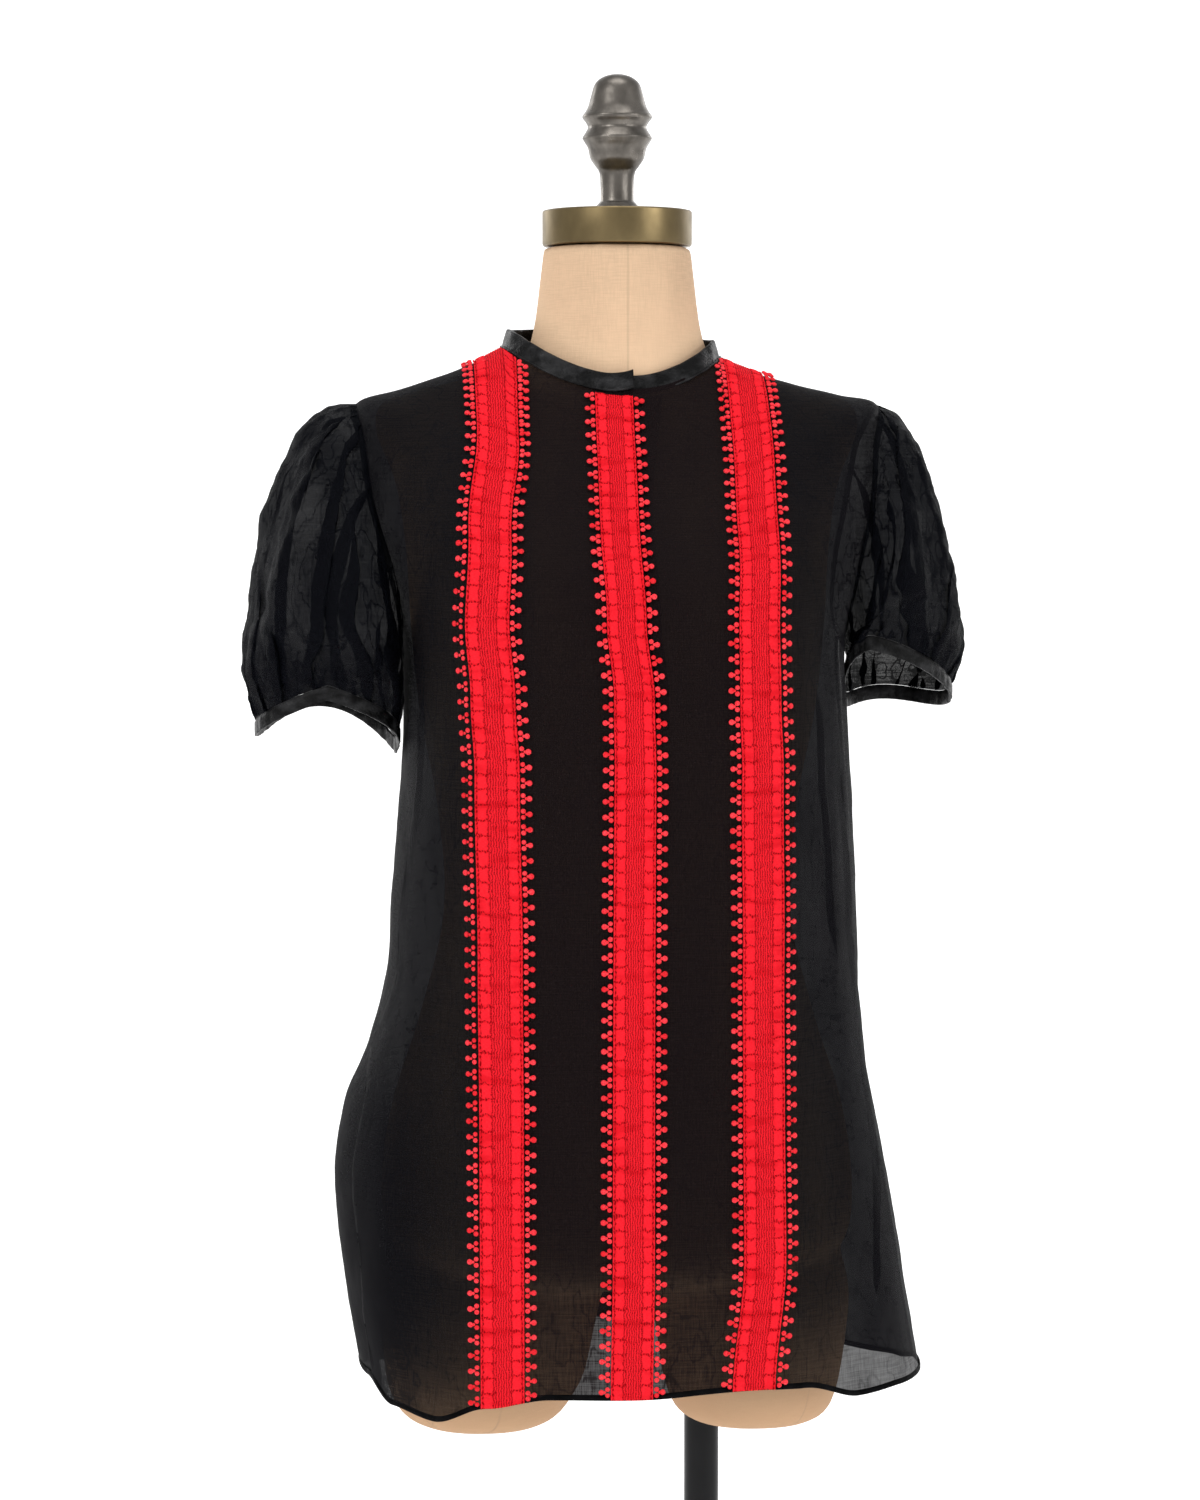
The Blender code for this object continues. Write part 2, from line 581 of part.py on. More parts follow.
def build_lace(name, column, front_points, front_columns, collection):
    """A band of lace with a toothed edge of picots, laid on the front panel's own facets."""
    facets = split_faces(grid_faces(len(PANEL_ROWS), front_columns))
    tree = BVHTree.FromPolygons(front_points, facets)
    half, reach = LACE_HALF_WIDTH, LACE_HALF_WIDTH + PICOT_REACH
    lines = {offset: lace_line(column, offset) for offset in (-reach, -half, 0.0, half, reach)}
    whole = lines[0.0][0][-1] - LACE_END_GAP
    rows = int(whole / PICOT_PITCH)
    pitch = whole / rows
    slant_start = pitch * (rows - LACE_SLANT_ROWS)
    slant_level = along(*lines[0.0], slant_start)

    def on_band(offset, position):
        """A point of the band: how far across from its middle, and at which row of picots."""
        length, (lengths, levels) = pitch * position, lines[offset]
        gap = LACE_GAP
        if length <= slant_start:
            level = along(*lines[0.0], length)
        else:
            gap += (LACE_GAP_AT_SHOULDER - LACE_GAP) * (position - rows + LACE_SLANT_ROWS) / LACE_SLANT_ROWS
            own_start = along(levels, lengths, slant_level)
            share = (length - slant_start) / (whole - slant_start)
            level = along(lengths, levels, own_start + share * (lengths[-1] - LACE_END_GAP - own_start))
        angle = angle_at(lace_x(column, level) + offset, level)
        point = blouse_point(angle, level)
        outward = (blouse_offset(angle, level, 1.0) - point).normalized()
        place, normal, _, _ = tree.find_nearest(point)
        return place + outward * gap

    points, faces = [], []
    for row in range(rows + 1):
        points += [on_band(offset, float(row)) for offset in (-half, 0.0, half)]
    faces += grid_faces(rows + 1, 3)
    for row in range(rows):
        low, high = row * 3, row * 3 + 3
        faces.append((low, high, len(points)))
        faces.append((high + 2, low + 2, len(points) + 1))
        points += [on_band(-reach, row + 0.5), on_band(reach, row + 0.5)]
    lace = add_mesh(name, points, faces, "lace", collection)
    thicken(lace, LACE_THICKNESS, 1)
    shade(lace)


def armhole_point(turn, side):
    """A point of the armhole's edge. The turn is 0 at the shoulder and a quarter at the front."""
    middle = (UNDERARM_LEVEL + SHOULDER_LEVEL) / 2
    half = (SHOULDER_LEVEL - UNDERARM_LEVEL) / 2
    level = middle + half * math.cos(turn)
    widest = ARMHOLE_FRONT if math.sin(turn) > 0 else ARMHOLE_BACK
    angle = math.pi / 2 - widest * math.sin(turn)
    underneath = (1 - math.cos(turn)) / 2
    return blouse_offset(side * angle, level, LAYER_GAP + 1.5 * CLOTH * underneath)


def sleeve_loop(row, turn, side):
    """A point of the loop through a sleeve's four lines at one row of its table."""
    line = dict(zip(SLEEVE_COLUMNS, row))
    outside = Vector((line["out_x"], 0.0, line["out_z"]))
    front = Vector((line["front_x"], line["front_y"], line["front_z"]))
    inside = Vector((line["in_x"], 0.0, line["in_z"]))
    back = Vector((line["back_x"], line["back_y"], line["back_z"]))
    c, s = math.cos(turn), math.sin(turn)
    point = (outside + inside) * (c * c / 2) + (front + back) * (s * s / 2)
    point += (outside - inside) * (c / 2) + (front - back) * (s / 2)
    if s > 0:
        point.x -= line["fullness"] * s * s * (1 - c) / 2
        ends, middle = outside.z + inside.z, front.z + back.z
        reach = abs(c - line["apex"]) / (1 - line["apex"] if c > line["apex"] else 1 + line["apex"])
        point.z += (ends - middle) * (reach ** line["peak"] - c * c) / 2
    return Vector((side * point.x, point.y, point.z))


def sleeve_point(table, side, share, turn):
    """A point of a sleeve: share is 0 at the armhole and 1 at the cuff."""
    point = sleeve_loop(between_rows(table, share * (len(table) - 1)), turn, side)
    stray = armhole_point(turn, side) - sleeve_loop(table[0], turn, side)
    point += stray * (1 - share) ** 3
    centre = sleeve_loop(between_rows(table, share * (len(table) - 1)), 0.0, side)
    centre = (centre + sleeve_loop(between_rows(table, share * (len(table) - 1)), math.pi, side)) / 2
    outward = Vector((point.x - centre.x, point.y - centre.y, 0.0))
    fullness = math.sin(math.pi * min(share * 1.15, 1.0)) ** 0.7 if share > 0 else 0.0
    next_to_body = (1 - math.cos(turn)) / 2
    swell = SLEEVE_FOLD_SWELL * fullness * (1 - 0.85 * next_to_body)
    wave = math.cos(SLEEVE_FOLDS * turn + 0.6 * math.sin(2 * turn) + side)
    return point + outward.normalized() * swell * wave


def build_sleeve(name, side, table, collection):
    turns = [2 * math.pi * i / SLEEVE_POINTS for i in range(SLEEVE_POINTS)]
    points = []
    for ring in range(SLEEVE_RINGS):
        share = (ring / (SLEEVE_RINGS - 1)) ** 1.1
        points += [sleeve_point(table, side, share, turn) for turn in turns]
    faces = grid_faces(SLEEVE_RINGS, SLEEVE_POINTS, closed=True)
    sleeve = add_mesh(name, points, faces, "voile", collection)
    thicken(sleeve, CLOTH, side)
    shade(sleeve)


def build_cuff(name, side, table, collection):
    """The narrow binding that holds the gathered edge of a sleeve."""
    turns = [2 * math.pi * i / SLEEVE_POINTS for i in range(SLEEVE_POINTS)]
    points = []
    for drop in (SEAM_HALF_GAP, SEAM_HALF_GAP + CUFF_HEIGHT):
        points += [sleeve_loop(table[-1], turn, side) - Vector((0, 0, drop)) for turn in turns]
    cuff = add_mesh(name, points, grid_faces(2, SLEEVE_POINTS, closed=True), "binding", collection)
    thicken(cuff, BINDING, -side)
    shade(cuff)


def build_neck_band(collection):
    """A standing strip once round the neck, whose left end laps over its right end."""
    steps = 56
    lap_start, lap_end = math.radians(-14), math.radians(5)
    turn = 2 * math.pi + (lap_end - lap_start)
    points = []
    for height in (0.0, NECK_BAND_HEIGHT):
        for i in range(steps + 1):
            travelled = turn * i / steps
            angle = lap_start + travelled
            over = min(max((travelled - (turn - math.radians(60))) / math.radians(30), 0.0), 1.0)
            base = blouse_point(angle, NECK_LEVEL)
            inward = Vector((-base.x, -base.y, 0.0)).normalized()
            rise = Vector((0, 0, NECK_BAND_GAP + height))
            lean = inward * (height * NECK_BAND_LEAN - over * (BINDING + 0.0006))
            points.append(base + rise + lean)
    faces = grid_faces(2, steps + 1)
    band = add_mesh("neck_band", points, faces, "binding", collection)
    thicken(band, BINDING, -1)
    shade(band)


def capped_tube(name, rings, material, collection):
    """A closed body through rings of points, with a flat cap at each end."""
    columns = len(rings[0])
    points = [p for ring in rings for p in ring]
    faces = grid_faces(len(rings), columns, closed=True)
    faces.append(tuple(reversed(range(columns))))
    faces.append(tuple(range(len(points) - columns, len(points))))
    return add_mesh(name, points, faces, material, collection)


def thigh(name, side, collection):
    rings = []
    for height, share in THIGH_ROUNDING:
        ring = []
        for i in range(THIGH_POINTS):
            angle = 2 * math.pi * i / THIGH_POINTS
            x = side * THIGH_CENTRE + THIGH_HALF_WIDTH * share * signed_power(math.sin(angle), 0.9)
            y = 0.003 - THIGH_DEPTH * share * signed_power(math.cos(angle), 0.9)
            ring.append(Vector((x, y, height)))
        rings.append(ring)
    return capped_tube(name, rings, "linen", collection)


def cylinder(name, radius, low, high, place, material, collection, segments=32):
    bm = bmesh.new()
    bmesh.ops.create_cone(
        bm, cap_ends=True, segments=segments, radius1=radius, radius2=radius, depth=high - low
    )
    mesh = bpy.data.meshes.new(name)
    bm.to_mesh(mesh)
    bm.free()
    obj = bpy.data.objects.new(name, mesh)
    obj.location = (place[0], place[1], (low + high) / 2)
    mesh.materials.append(finish(material))
    collection.objects.link(obj)
    return obj


def combine(obj, other, operation):
    """Adds a Boolean with another mesh, which then isn't shown itself."""
    cut = obj.modifiers.new(operation.title(), "BOOLEAN")
    cut.operation = operation
    cut.object = other
    other.hide_render = True
    other.display_type = "WIRE"


def build_form(collection, helpers):
    """The form's trunk and neck, with two short rounded thighs, and a socket for the pole."""
    rings = []
    for level in range(len(FORM_RINGS)):
        angles = [2 * math.pi * i / FORM_POINTS for i in range(FORM_POINTS)]
        rings.append([form_point(angle, float(level)) for angle in angles])
    form = capped_tube("dress_form", rings, "linen", collection)
    for name, side in (("left_thigh", -1.0), ("right_thigh", 1.0)):
        combine(form, thigh(name, side, helpers), "UNION")
    socket = cylinder(
        "socket_cutter", POLE_RADIUS + SOCKET_GAP, 0.640, POLE_TOP + SOCKET_GAP,
        POLE_PLACE, "linen", helpers, 24,
    )
    combine(form, socket, "DIFFERENCE")
    shade(form, 60)


def build_neck_metal(collection):
    """The plain round cap on the form's neck, and the turned finial that stands on it."""
    low = NECK_TOP + SOCKET_GAP
    cap = cylinder("neck_cap", CAP_RADIUS, low, low + CAP_HEIGHT, (0, 0), "brass", collection, 40)
    rounding = cap.modifiers.new("Rounding", "BEVEL")
    rounding.width = 0.0015
    rounding.segments = 1
    shade(cap, 50)
    base = low + CAP_HEIGHT + SOCKET_GAP
    profile = [Vector((radius, 0.0, base + height)) for radius, height in FINIAL_PROFILE]
    mesh = bpy.data.meshes.new("finial")
    mesh.from_pydata(profile, [(i, i + 1) for i in range(len(profile) - 1)], [])
    finial = bpy.data.objects.new("finial", mesh)
    mesh.materials.append(finish("pewter"))
    collection.objects.link(finial)
    turning = finial.modifiers.new("Turning", "SCREW")
    turning.steps = FINIAL_STEPS
    turning.render_steps = FINIAL_STEPS
    turning.use_merge_vertices = True
    turning.merge_threshold = 0.00005
    turning.use_smooth_shade = True


def build_stand(collection, helpers):
    """A round weighted foot with a hub, and the pole that rises from the hub into the form."""
    foot = cylinder("foot", FOOT_RADIUS, 0.0, FOOT_THICKNESS, (0, 0), "black_steel", collection, 48)
    rounding = foot.modifiers.new("Rounding", "BEVEL")
    rounding.width = 0.0020
    rounding.segments = 2
    rounding.limit_method = "ANGLE"
    hub = cylinder("hub", HUB_RADIUS, 0.004, HUB_HEIGHT, POLE_PLACE, "black_steel", helpers, 24)
    combine(foot, hub, "UNION")
    pole_foot = FOOT_THICKNESS
    socket = cylinder(
        "hub_cutter", POLE_RADIUS + SOCKET_GAP, pole_foot - SOCKET_GAP, HUB_HEIGHT + 0.010,
        POLE_PLACE, "black_steel", helpers, 24,
    )
    combine(foot, socket, "DIFFERENCE")
    shade(foot, 50)
    pole = cylinder("pole", POLE_RADIUS, pole_foot, POLE_TOP, POLE_PLACE, "black_steel", collection, 24)
    shade(pole, 50)


def build():
    clear_scene()
    blouse = bpy.data.collections.new("lace_blouse_on_dress_form")
    helpers = bpy.data.collections.new("cutters")
    for collection in (blouse, helpers):
        bpy.context.scene.collection.children.link(collection)
    build_front(blouse)
    build_back(blouse)
    build_underlap(blouse)
    front_points, front_columns, _ = front_grid()
    for column, name in enumerate(("lace_left", "lace_centre", "lace_right")):
        build_lace(name, column, front_points, front_columns, blouse)
    for side_name, (side, table) in SLEEVE_SIDES.items():
        build_sleeve(f"sleeve_{side_name}", side, table, blouse)
        build_cuff(f"cuff_{side_name}", side, table, blouse)
    build_neck_band(blouse)
    build_form(blouse, helpers)
    build_neck_metal(blouse)
    build_stand(blouse, helpers)


build()
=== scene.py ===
import math

import bmesh
import bpy
import numpy as np
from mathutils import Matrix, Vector, noise


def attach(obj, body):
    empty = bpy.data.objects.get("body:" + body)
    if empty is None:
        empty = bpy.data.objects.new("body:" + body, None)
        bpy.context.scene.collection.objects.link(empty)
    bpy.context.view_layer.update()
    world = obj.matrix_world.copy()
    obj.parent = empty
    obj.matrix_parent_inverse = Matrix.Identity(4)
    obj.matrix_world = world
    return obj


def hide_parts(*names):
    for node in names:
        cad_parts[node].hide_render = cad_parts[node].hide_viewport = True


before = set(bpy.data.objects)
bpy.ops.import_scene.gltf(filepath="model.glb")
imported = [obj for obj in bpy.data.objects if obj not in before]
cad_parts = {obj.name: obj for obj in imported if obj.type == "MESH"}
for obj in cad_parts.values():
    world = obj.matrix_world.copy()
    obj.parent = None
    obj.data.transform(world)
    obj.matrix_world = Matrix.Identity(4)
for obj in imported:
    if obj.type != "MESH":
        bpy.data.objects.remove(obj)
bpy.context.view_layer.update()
print("frame loaded")

# Rings of the blouse, from the hem to the neck, and of the form, from its crotch to its neck.
# side height, left, right, front height, front, back height, back, roundness
blouseRings = (
    (0.7110, 0.1770, 0.2080, 0.7110, 0.1370, 0.7110, 0.1300, 2.30),
    (0.7500, 0.1840, 0.2005, 0.7500, 0.1380, 0.7500, 0.1310, 2.30),
    (0.8000, 0.1910, 0.1920, 0.8000, 0.1390, 0.8000, 0.1300, 2.30),
    (0.8450, 0.1930, 0.1840, 0.8450, 0.1390, 0.8450, 0.1280, 2.30),
    (0.8900, 0.1860, 0.1750, 0.8900, 0.1390, 0.8900, 0.1250, 2.30),
    (0.9300, 0.1700, 0.1680, 0.9300, 0.1390, 0.9300, 0.1200, 2.30),
    (0.9750, 0.1580, 0.1640, 0.9750, 0.1400, 0.9750, 0.1150, 2.35),
    (1.0300, 0.1540, 0.1620, 1.0300, 0.1410, 1.0300, 0.1110, 2.40),
    (1.0900, 0.1490, 0.1590, 1.0900, 0.1430, 1.0900, 0.1090, 2.45),
    (1.1500, 0.1460, 0.1550, 1.1500, 0.1460, 1.1500, 0.1100, 2.50),
    (1.2050, 0.1470, 0.1530, 1.2050, 0.1475, 1.2050, 0.1130, 2.50),
    (1.2500, 0.1600, 0.1630, 1.2430, 0.1435, 1.2500, 0.1160, 2.45),
    (1.3000, 0.1770, 0.1760, 1.2700, 0.1285, 1.2900, 0.1150, 2.35),
    (1.3400, 0.1800, 0.1780, 1.2940, 0.1115, 1.3220, 0.1080, 2.25),
    (1.3635, 0.1765, 0.1765, 1.3120, 0.0990, 1.3450, 0.0990, 2.20),
    (1.3710, 0.1500, 0.1500, 1.3270, 0.0885, 1.3620, 0.0885, 2.15),
    (1.3795, 0.1200, 0.1195, 1.3425, 0.0780, 1.3780, 0.0770, 2.10),
    (1.3875, 0.0980, 0.0935, 1.3570, 0.0690, 1.3910, 0.0670, 2.10),
    (1.3968, 0.0785, 0.0695, 1.3683, 0.0605, 1.4020, 0.0585, 2.10),
)
formRings = (
    (0.7640, 0.0300, 0.0300, 0.7640, 0.0250, 0.7640, 0.0300, 2.00),
    (0.7680, 0.0800, 0.0800, 0.7680, 0.0600, 0.7680, 0.0680, 2.10),
    (0.7760, 0.1280, 0.1280, 0.7760, 0.0900, 0.7760, 0.1000, 2.20),
    (0.7940, 0.1540, 0.1560, 0.7940, 0.1030, 0.7940, 0.1130, 2.25),
    (0.8350, 0.1610, 0.1610, 0.8350, 0.1060, 0.8350, 0.1160, 2.25),
    (0.8900, 0.1530, 0.1530, 0.8900, 0.1040, 0.8900, 0.1100, 2.20),
    (0.9500, 0.1340, 0.1340, 0.9500, 0.0970, 0.9500, 0.0950, 2.15),
    (1.0200, 0.1180, 0.1180, 1.0200, 0.0920, 1.0200, 0.0840, 2.10),
    (1.0900, 0.1220, 0.1220, 1.0900, 0.0990, 1.0900, 0.0880, 2.15),
    (1.1550, 0.1340, 0.1340, 1.1550, 0.1090, 1.1550, 0.0970, 2.20),
    (1.2150, 0.1400, 0.1400, 1.2120, 0.1140, 1.2150, 0.1030, 2.20),
    (1.2650, 0.1430, 0.1430, 1.2500, 0.1060, 1.2600, 0.1060, 2.20),
    (1.3100, 0.1500, 0.1500, 1.2800, 0.0930, 1.3000, 0.1020, 2.15),
    (1.3440, 0.1630, 0.1630, 1.3050, 0.0820, 1.3300, 0.0930, 2.10),
    (1.3625, 0.1600, 0.1600, 1.3230, 0.0730, 1.3480, 0.0840, 2.10),
    (1.3702, 0.1400, 0.1400, 1.3360, 0.0660, 1.3600, 0.0750, 2.05),
    (1.3774, 0.1120, 0.1120, 1.3460, 0.0600, 1.3700, 0.0655, 2.00),
    (1.3850, 0.0825, 0.0825, 1.3550, 0.0550, 1.3800, 0.0580, 2.00),
    (1.3945, 0.0635, 0.0635, 1.3690, 0.0510, 1.3930, 0.0535, 2.00),
    (1.4150, 0.0562, 0.0562, 1.3950, 0.0485, 1.4130, 0.0505, 2.00),
    (1.4430, 0.0525, 0.0525, 1.4320, 0.0485, 1.4410, 0.0490, 2.00),
    (1.4685, 0.0494, 0.0494, 1.4685, 0.0494, 1.4685, 0.0494, 2.00),
)
underarm, shoulderTip, neckline = 10.0, 14.0, 18.0  # levels of the blouse's rings
armholeMiddle, armholeHalf = (underarm + shoulderTip) / 2, (shoulderTip - underarm) / 2
upward = np.array([0.0, 0.0, 1.0])

# reach from the middle, height, swell, spread, rise, fall
formBust = (0.086, 1.225, 0.0400, 0.040, 0.050, 0.050)
blouseBust = (0.090, 1.228, 0.0155, 0.045, 0.045, 0.230)
shoulderSlope = ((14.0, 0.0), (15.0, -0.0010), (16.0, -0.0024), (17.0, -0.0030), (18.0, -0.0033))
hemLine = (  # degrees from the front, lift
    (-180, 0.002), (-160, -0.002), (-140, -0.011), (-120, -0.014), (-105, -0.009), (-90, 0.002),
    (-75, 0.000), (-60, -0.014), (-45, -0.018), (-30, -0.006), (-15, 0.000), (0, 0.000), (20, 0.004),
    (30, 0.003), (45, -0.008), (60, -0.005), (90, -0.005), (105, -0.011), (120, -0.013),
    (140, -0.010), (160, -0.002), (180, 0.002),
)
lacePath = (  # height, then the middle of the left, centre and right bands
    (0.711, -0.0860, -0.0020, 0.0790),
    (0.800, -0.0865, -0.0010, 0.0860),
    (0.900, -0.0865, -0.0010, 0.0850),
    (1.000, -0.0870, -0.0010, 0.0840),
    (1.120, -0.0892, -0.0010, 0.0820),
    (1.170, -0.0918, -0.0020, 0.0800),
    (1.220, -0.0955, -0.0070, 0.0790),
    (1.270, -0.0930, -0.0090, 0.0810),
    (1.330, -0.0850, -0.0080, 0.0830),
    (1.400, -0.0825, -0.0070, 0.0840),
)
# Folds of the solids: at the back or not, top x and z, foot x and z, half width, swell
mainFolds = (
    (False, -0.128, 1.170, -0.168, 0.800, 0.013, 0.0085),
    (False, -0.112, 1.120, -0.140, 0.730, 0.015, -0.0060),
    (False, 0.132, 1.150, 0.188, 0.730, 0.015, 0.0090),
    (False, 0.115, 1.060, 0.150, 0.720, 0.016, -0.0065),
    (False, -0.046, 1.140, -0.045, 0.715, 0.022, -0.0035),
    (False, 0.042, 1.140, 0.043, 0.715, 0.022, -0.0040),
    (False, -0.118, 0.860, -0.122, 0.705, 0.020, 0.0100),
    (True, -0.120, 1.150, -0.135, 0.715, 0.018, 0.0090),
    (True, -0.070, 1.200, -0.080, 0.715, 0.017, -0.0070),
    (True, -0.028, 1.240, -0.030, 0.715, 0.017, 0.0080),
    (True, 0.022, 1.240, 0.020, 0.715, 0.016, -0.0060),
    (True, 0.068, 1.210, 0.074, 0.715, 0.018, 0.0085),
    (True, 0.120, 1.160, 0.132, 0.715, 0.018, -0.0060),
)
foldFade = 0.09  # length over which a fold comes and goes
# Finer creases that only the cloth shows, in the same columns
fineCreases = (
    (False, -0.133, 1.185, -0.150, 0.930, 0.0035, 0.0018),
    (False, -0.141, 1.160, -0.176, 0.900, 0.0040, -0.0016),
    (False, -0.122, 1.100, -0.131, 0.800, 0.0045, 0.0015),
    (False, 0.135, 1.215, 0.140, 1.020, 0.0035, 0.0018),
    (False, 0.142, 1.200, 0.151, 0.980, 0.0030, -0.0014),
    (False, 0.128, 1.060, 0.170, 0.880, 0.0050, 0.0022),
    (False, 0.138, 1.020, 0.186, 0.800, 0.0050, -0.0020),
    (False, 0.120, 0.960, 0.138, 0.760, 0.0060, 0.0018),
    (True, -0.095, 1.300, -0.110, 0.800, 0.0050, 0.0014),
    (True, -0.045, 1.290, -0.052, 0.800, 0.0045, -0.0013),
    (True, 0.005, 1.310, 0.002, 0.790, 0.0050, 0.0013),
    (True, 0.050, 1.290, 0.048, 0.800, 0.0045, -0.0013),
    (True, 0.100, 1.300, 0.112, 0.800, 0.0050, 0.0014),
)


def tableAt(rows, position):
    # A row at a fractional position, on a smooth curve through all rows
    table = np.asarray(rows, float)
    last = len(table) - 1
    position = np.clip(np.asarray(position, float), 0, last)
    index = np.minimum(position.astype(int), last - 1)
    t = (position - index)[..., None]
    before, start = table[np.maximum(index - 1, 0)], table[index]
    end, after = table[index + 1], table[np.minimum(index + 2, last)]
    leave, arrive = (end - before) / 2, (after - start) / 2
    return ((2 * t**3 - 3 * t**2 + 1) * start + (t**3 - 2 * t**2 + t) * leave
            + (3 * t**2 - 2 * t**3) * end + (t**3 - t**2) * arrive)


def eased(share):
    return share * share * (3 - 2 * share)


def easedAt(rows, value):
    # The columns after the first, eased between the two rows around a value of the first
    table = np.asarray(rows, float)
    value = np.clip(np.asarray(value, float), table[0, 0], table[-1, 0])
    index = np.clip(np.searchsorted(table[:, 0], value, side="right") - 1, 0, len(table) - 2)
    share = (value - table[index, 0]) / (table[index + 1, 0] - table[index, 0])
    return table[index, 1:] + (table[index + 1, 1:] - table[index, 1:]) * eased(share)[..., None]


def unit(vectors):
    return vectors / np.linalg.norm(vectors, axis=-1, keepdims=True)


def turnsAround(count):
    return np.linspace(0, 2 * math.pi, count, endpoint=False)


def bell(distance, spread):
    return np.exp(-0.5 * (distance / spread) ** 2)


def signedPower(value, power):
    return np.sign(value) * np.abs(value) ** power


def ringPoint(rings, angle, level):
    angle, level = np.broadcast_arrays(np.asarray(angle, float), np.asarray(level, float))
    columns = np.moveaxis(tableAt(rings, level), -1, 0)
    sideZ, left, right, frontZ, front, backZ, back, roundness = columns
    across, along = np.sin(angle), np.cos(angle)
    power = 2 / roundness
    half = np.where(across > 0, right, left)
    deep, endZ = np.where(along > 0, front, back), np.where(along > 0, frontZ, backZ)
    x = half * signedPower(across, power)
    y = -deep * signedPower(along, power)
    z = sideZ + (endZ - sideZ) * along**2
    return np.stack([x, y, z], -1)


def bustSwell(bust, x, z):
    reach, height, swell, spread, rise, fall = bust
    upright = bell(z - height, np.where(z > height, rise, fall))
    return swell * upright * (bell(x - reach, spread) + bell(x + reach, spread))


def foldSwell(folds, x, z, atBack):
    total = np.zeros_like(x)
    for isBack, topX, topZ, footX, footZ, halfWidth, swell in folds:
        share = (topZ - z) / (topZ - footZ)
        fade = np.clip((topZ - z) / foldFade, 0, 1) * np.clip((z - footZ + foldFade) / foldFade, 0, 1)
        here = bell(x - topX - (footX - topX) * share, halfWidth) * fade * swell
        total += np.where(atBack == isBack, here, 0)
    return total


def formPoint(angle, level):
    point = ringPoint(formRings, angle, level)
    facing = np.cos(np.broadcast_to(angle, point.shape[:-1]))
    point[..., 1] -= bustSwell(formBust, point[..., 0], point[..., 2]) * np.clip(facing, 0, 1)
    return point


def blousePoint(angle, level, creased=True):
    point = ringPoint(blouseRings, angle, level)
    angle, level = (np.broadcast_to(v, point.shape[:-1]) for v in (angle, level))
    facing = np.cos(angle)
    atBack = facing < 0
    x, z = point[..., 0], point[..., 2]
    swell = foldSwell(mainFolds, x, z, atBack)
    if creased:
        swell = swell + foldSwell(fineCreases, x, z, atBack)
    swell = swell + np.where(atBack, 0, bustSwell(blouseBust, x, z))
    point[..., 1] -= swell * signedPower(facing, 0.5)
    fade = np.clip(1 - level / 3, 0, 1) ** 2
    degrees = np.degrees(np.arctan2(np.sin(angle), np.cos(angle)))
    point[..., 2] += easedAt(hemLine, degrees)[..., 0] * fade
    point[..., 2] += easedAt(shoulderSlope, level)[..., 0] * np.sin(angle)
    return point


def outwardAt(angle, level, step=0.02):
    low, high = np.clip(level - step, 0, neckline), np.clip(level + step, 0, neckline)
    along = blousePoint(angle + step, level) - blousePoint(angle - step, level)
    return unit(np.cross(along, blousePoint(angle, high) - blousePoint(angle, low)))


def blouseOffset(angle, level, out):
    # A point of the blouse's surface, moved out from it
    angle, level = np.asarray(angle, float), np.asarray(level, float)
    return blousePoint(angle, level) + outwardAt(angle, level) * np.asarray(out)[..., None]


def angleAt(x, level):
    columns = tableAt(blouseRings, level)
    half = np.where(x > 0, columns[..., 2], columns[..., 1])
    across = np.clip((np.abs(x) / half) ** (columns[..., 7] / 2), 0, 1)
    return np.sign(x) * np.arcsin(across)


def armholeAngle(level, widest):
    share = (level - armholeMiddle) / armholeHalf
    return widest * np.sqrt(np.clip(1 - share * share, 0, 1))


def laceX(column, level):
    return easedAt(lacePath, ringPoint(blouseRings, 0.0, level)[..., 2])[..., column]


def newPiece(name, points, faces, *materials):
    mesh = bpy.data.meshes.new(name)
    mesh.from_pydata(np.asarray(points, float).reshape(-1, 3).tolist(), [], faces)
    mesh.polygons.foreach_set("use_smooth", [True] * len(mesh.polygons))
    for material in materials:
        mesh.materials.append(material)
    mesh.update()
    piece = bpy.data.objects.new(name, mesh)
    bpy.context.scene.collection.objects.link(piece)
    return piece


def linkMesh(name, points, faces, material):
    piece = newPiece(name, points, faces, material)
    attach(piece, "root")
    return piece


def gridFaces(rows, columns, closed=False, skip=None, start=0):
    faces = []
    for row in range(rows - 1):
        for column in range(columns if closed else columns - 1):
            if skip and skip(row, column):
                continue
            beside = (column + 1) % columns
            low, high = start + row * columns, start + (row + 1) * columns
            faces.append((low + column, low + beside, high + beside, high + column))
    return faces


def ruffled(points, size, height, seed):
    # Moves a grid of points along its own normals by soft noise
    along = np.gradient(points, axis=1)
    normal = np.cross(along, np.gradient(points, axis=0))
    normal /= np.maximum(np.linalg.norm(normal, axis=-1, keepdims=True), 1e-12)
    moves = [noise.noise(Vector(p) / size + Vector((seed, 0, 0))) for p in points.reshape(-1, 3)]
    return points + normal * (np.array(moves).reshape(points.shape[:2])[..., None] * height)


def sheetArea(piece):
    return sum(face.area for face in piece.data.polygons)


sharpFrom = 35  # degrees between the faces of a turned piece


def turnedMesh(name, profile, segments, place, material):
    # profile is radius and height, from the top down on the outside
    turns = turnsAround(segments)
    rings = [np.stack([place[0] + r * np.cos(turns), place[1] + r * np.sin(turns),
                       np.full(segments, place[2] + h)], -1) for r, h in profile]
    faces = gridFaces(len(rings), segments, closed=True)
    faces = [tuple(reversed(face)) for face in faces]
    faces.append(tuple(range(segments)))
    last = (len(rings) - 1) * segments
    faces.append(tuple(reversed(range(last, last + segments))))
    piece = linkMesh(name, np.array(rings), faces, material)
    piece.data.set_sharp_from_angle(angle=math.radians(sharpFrom))
    return piece


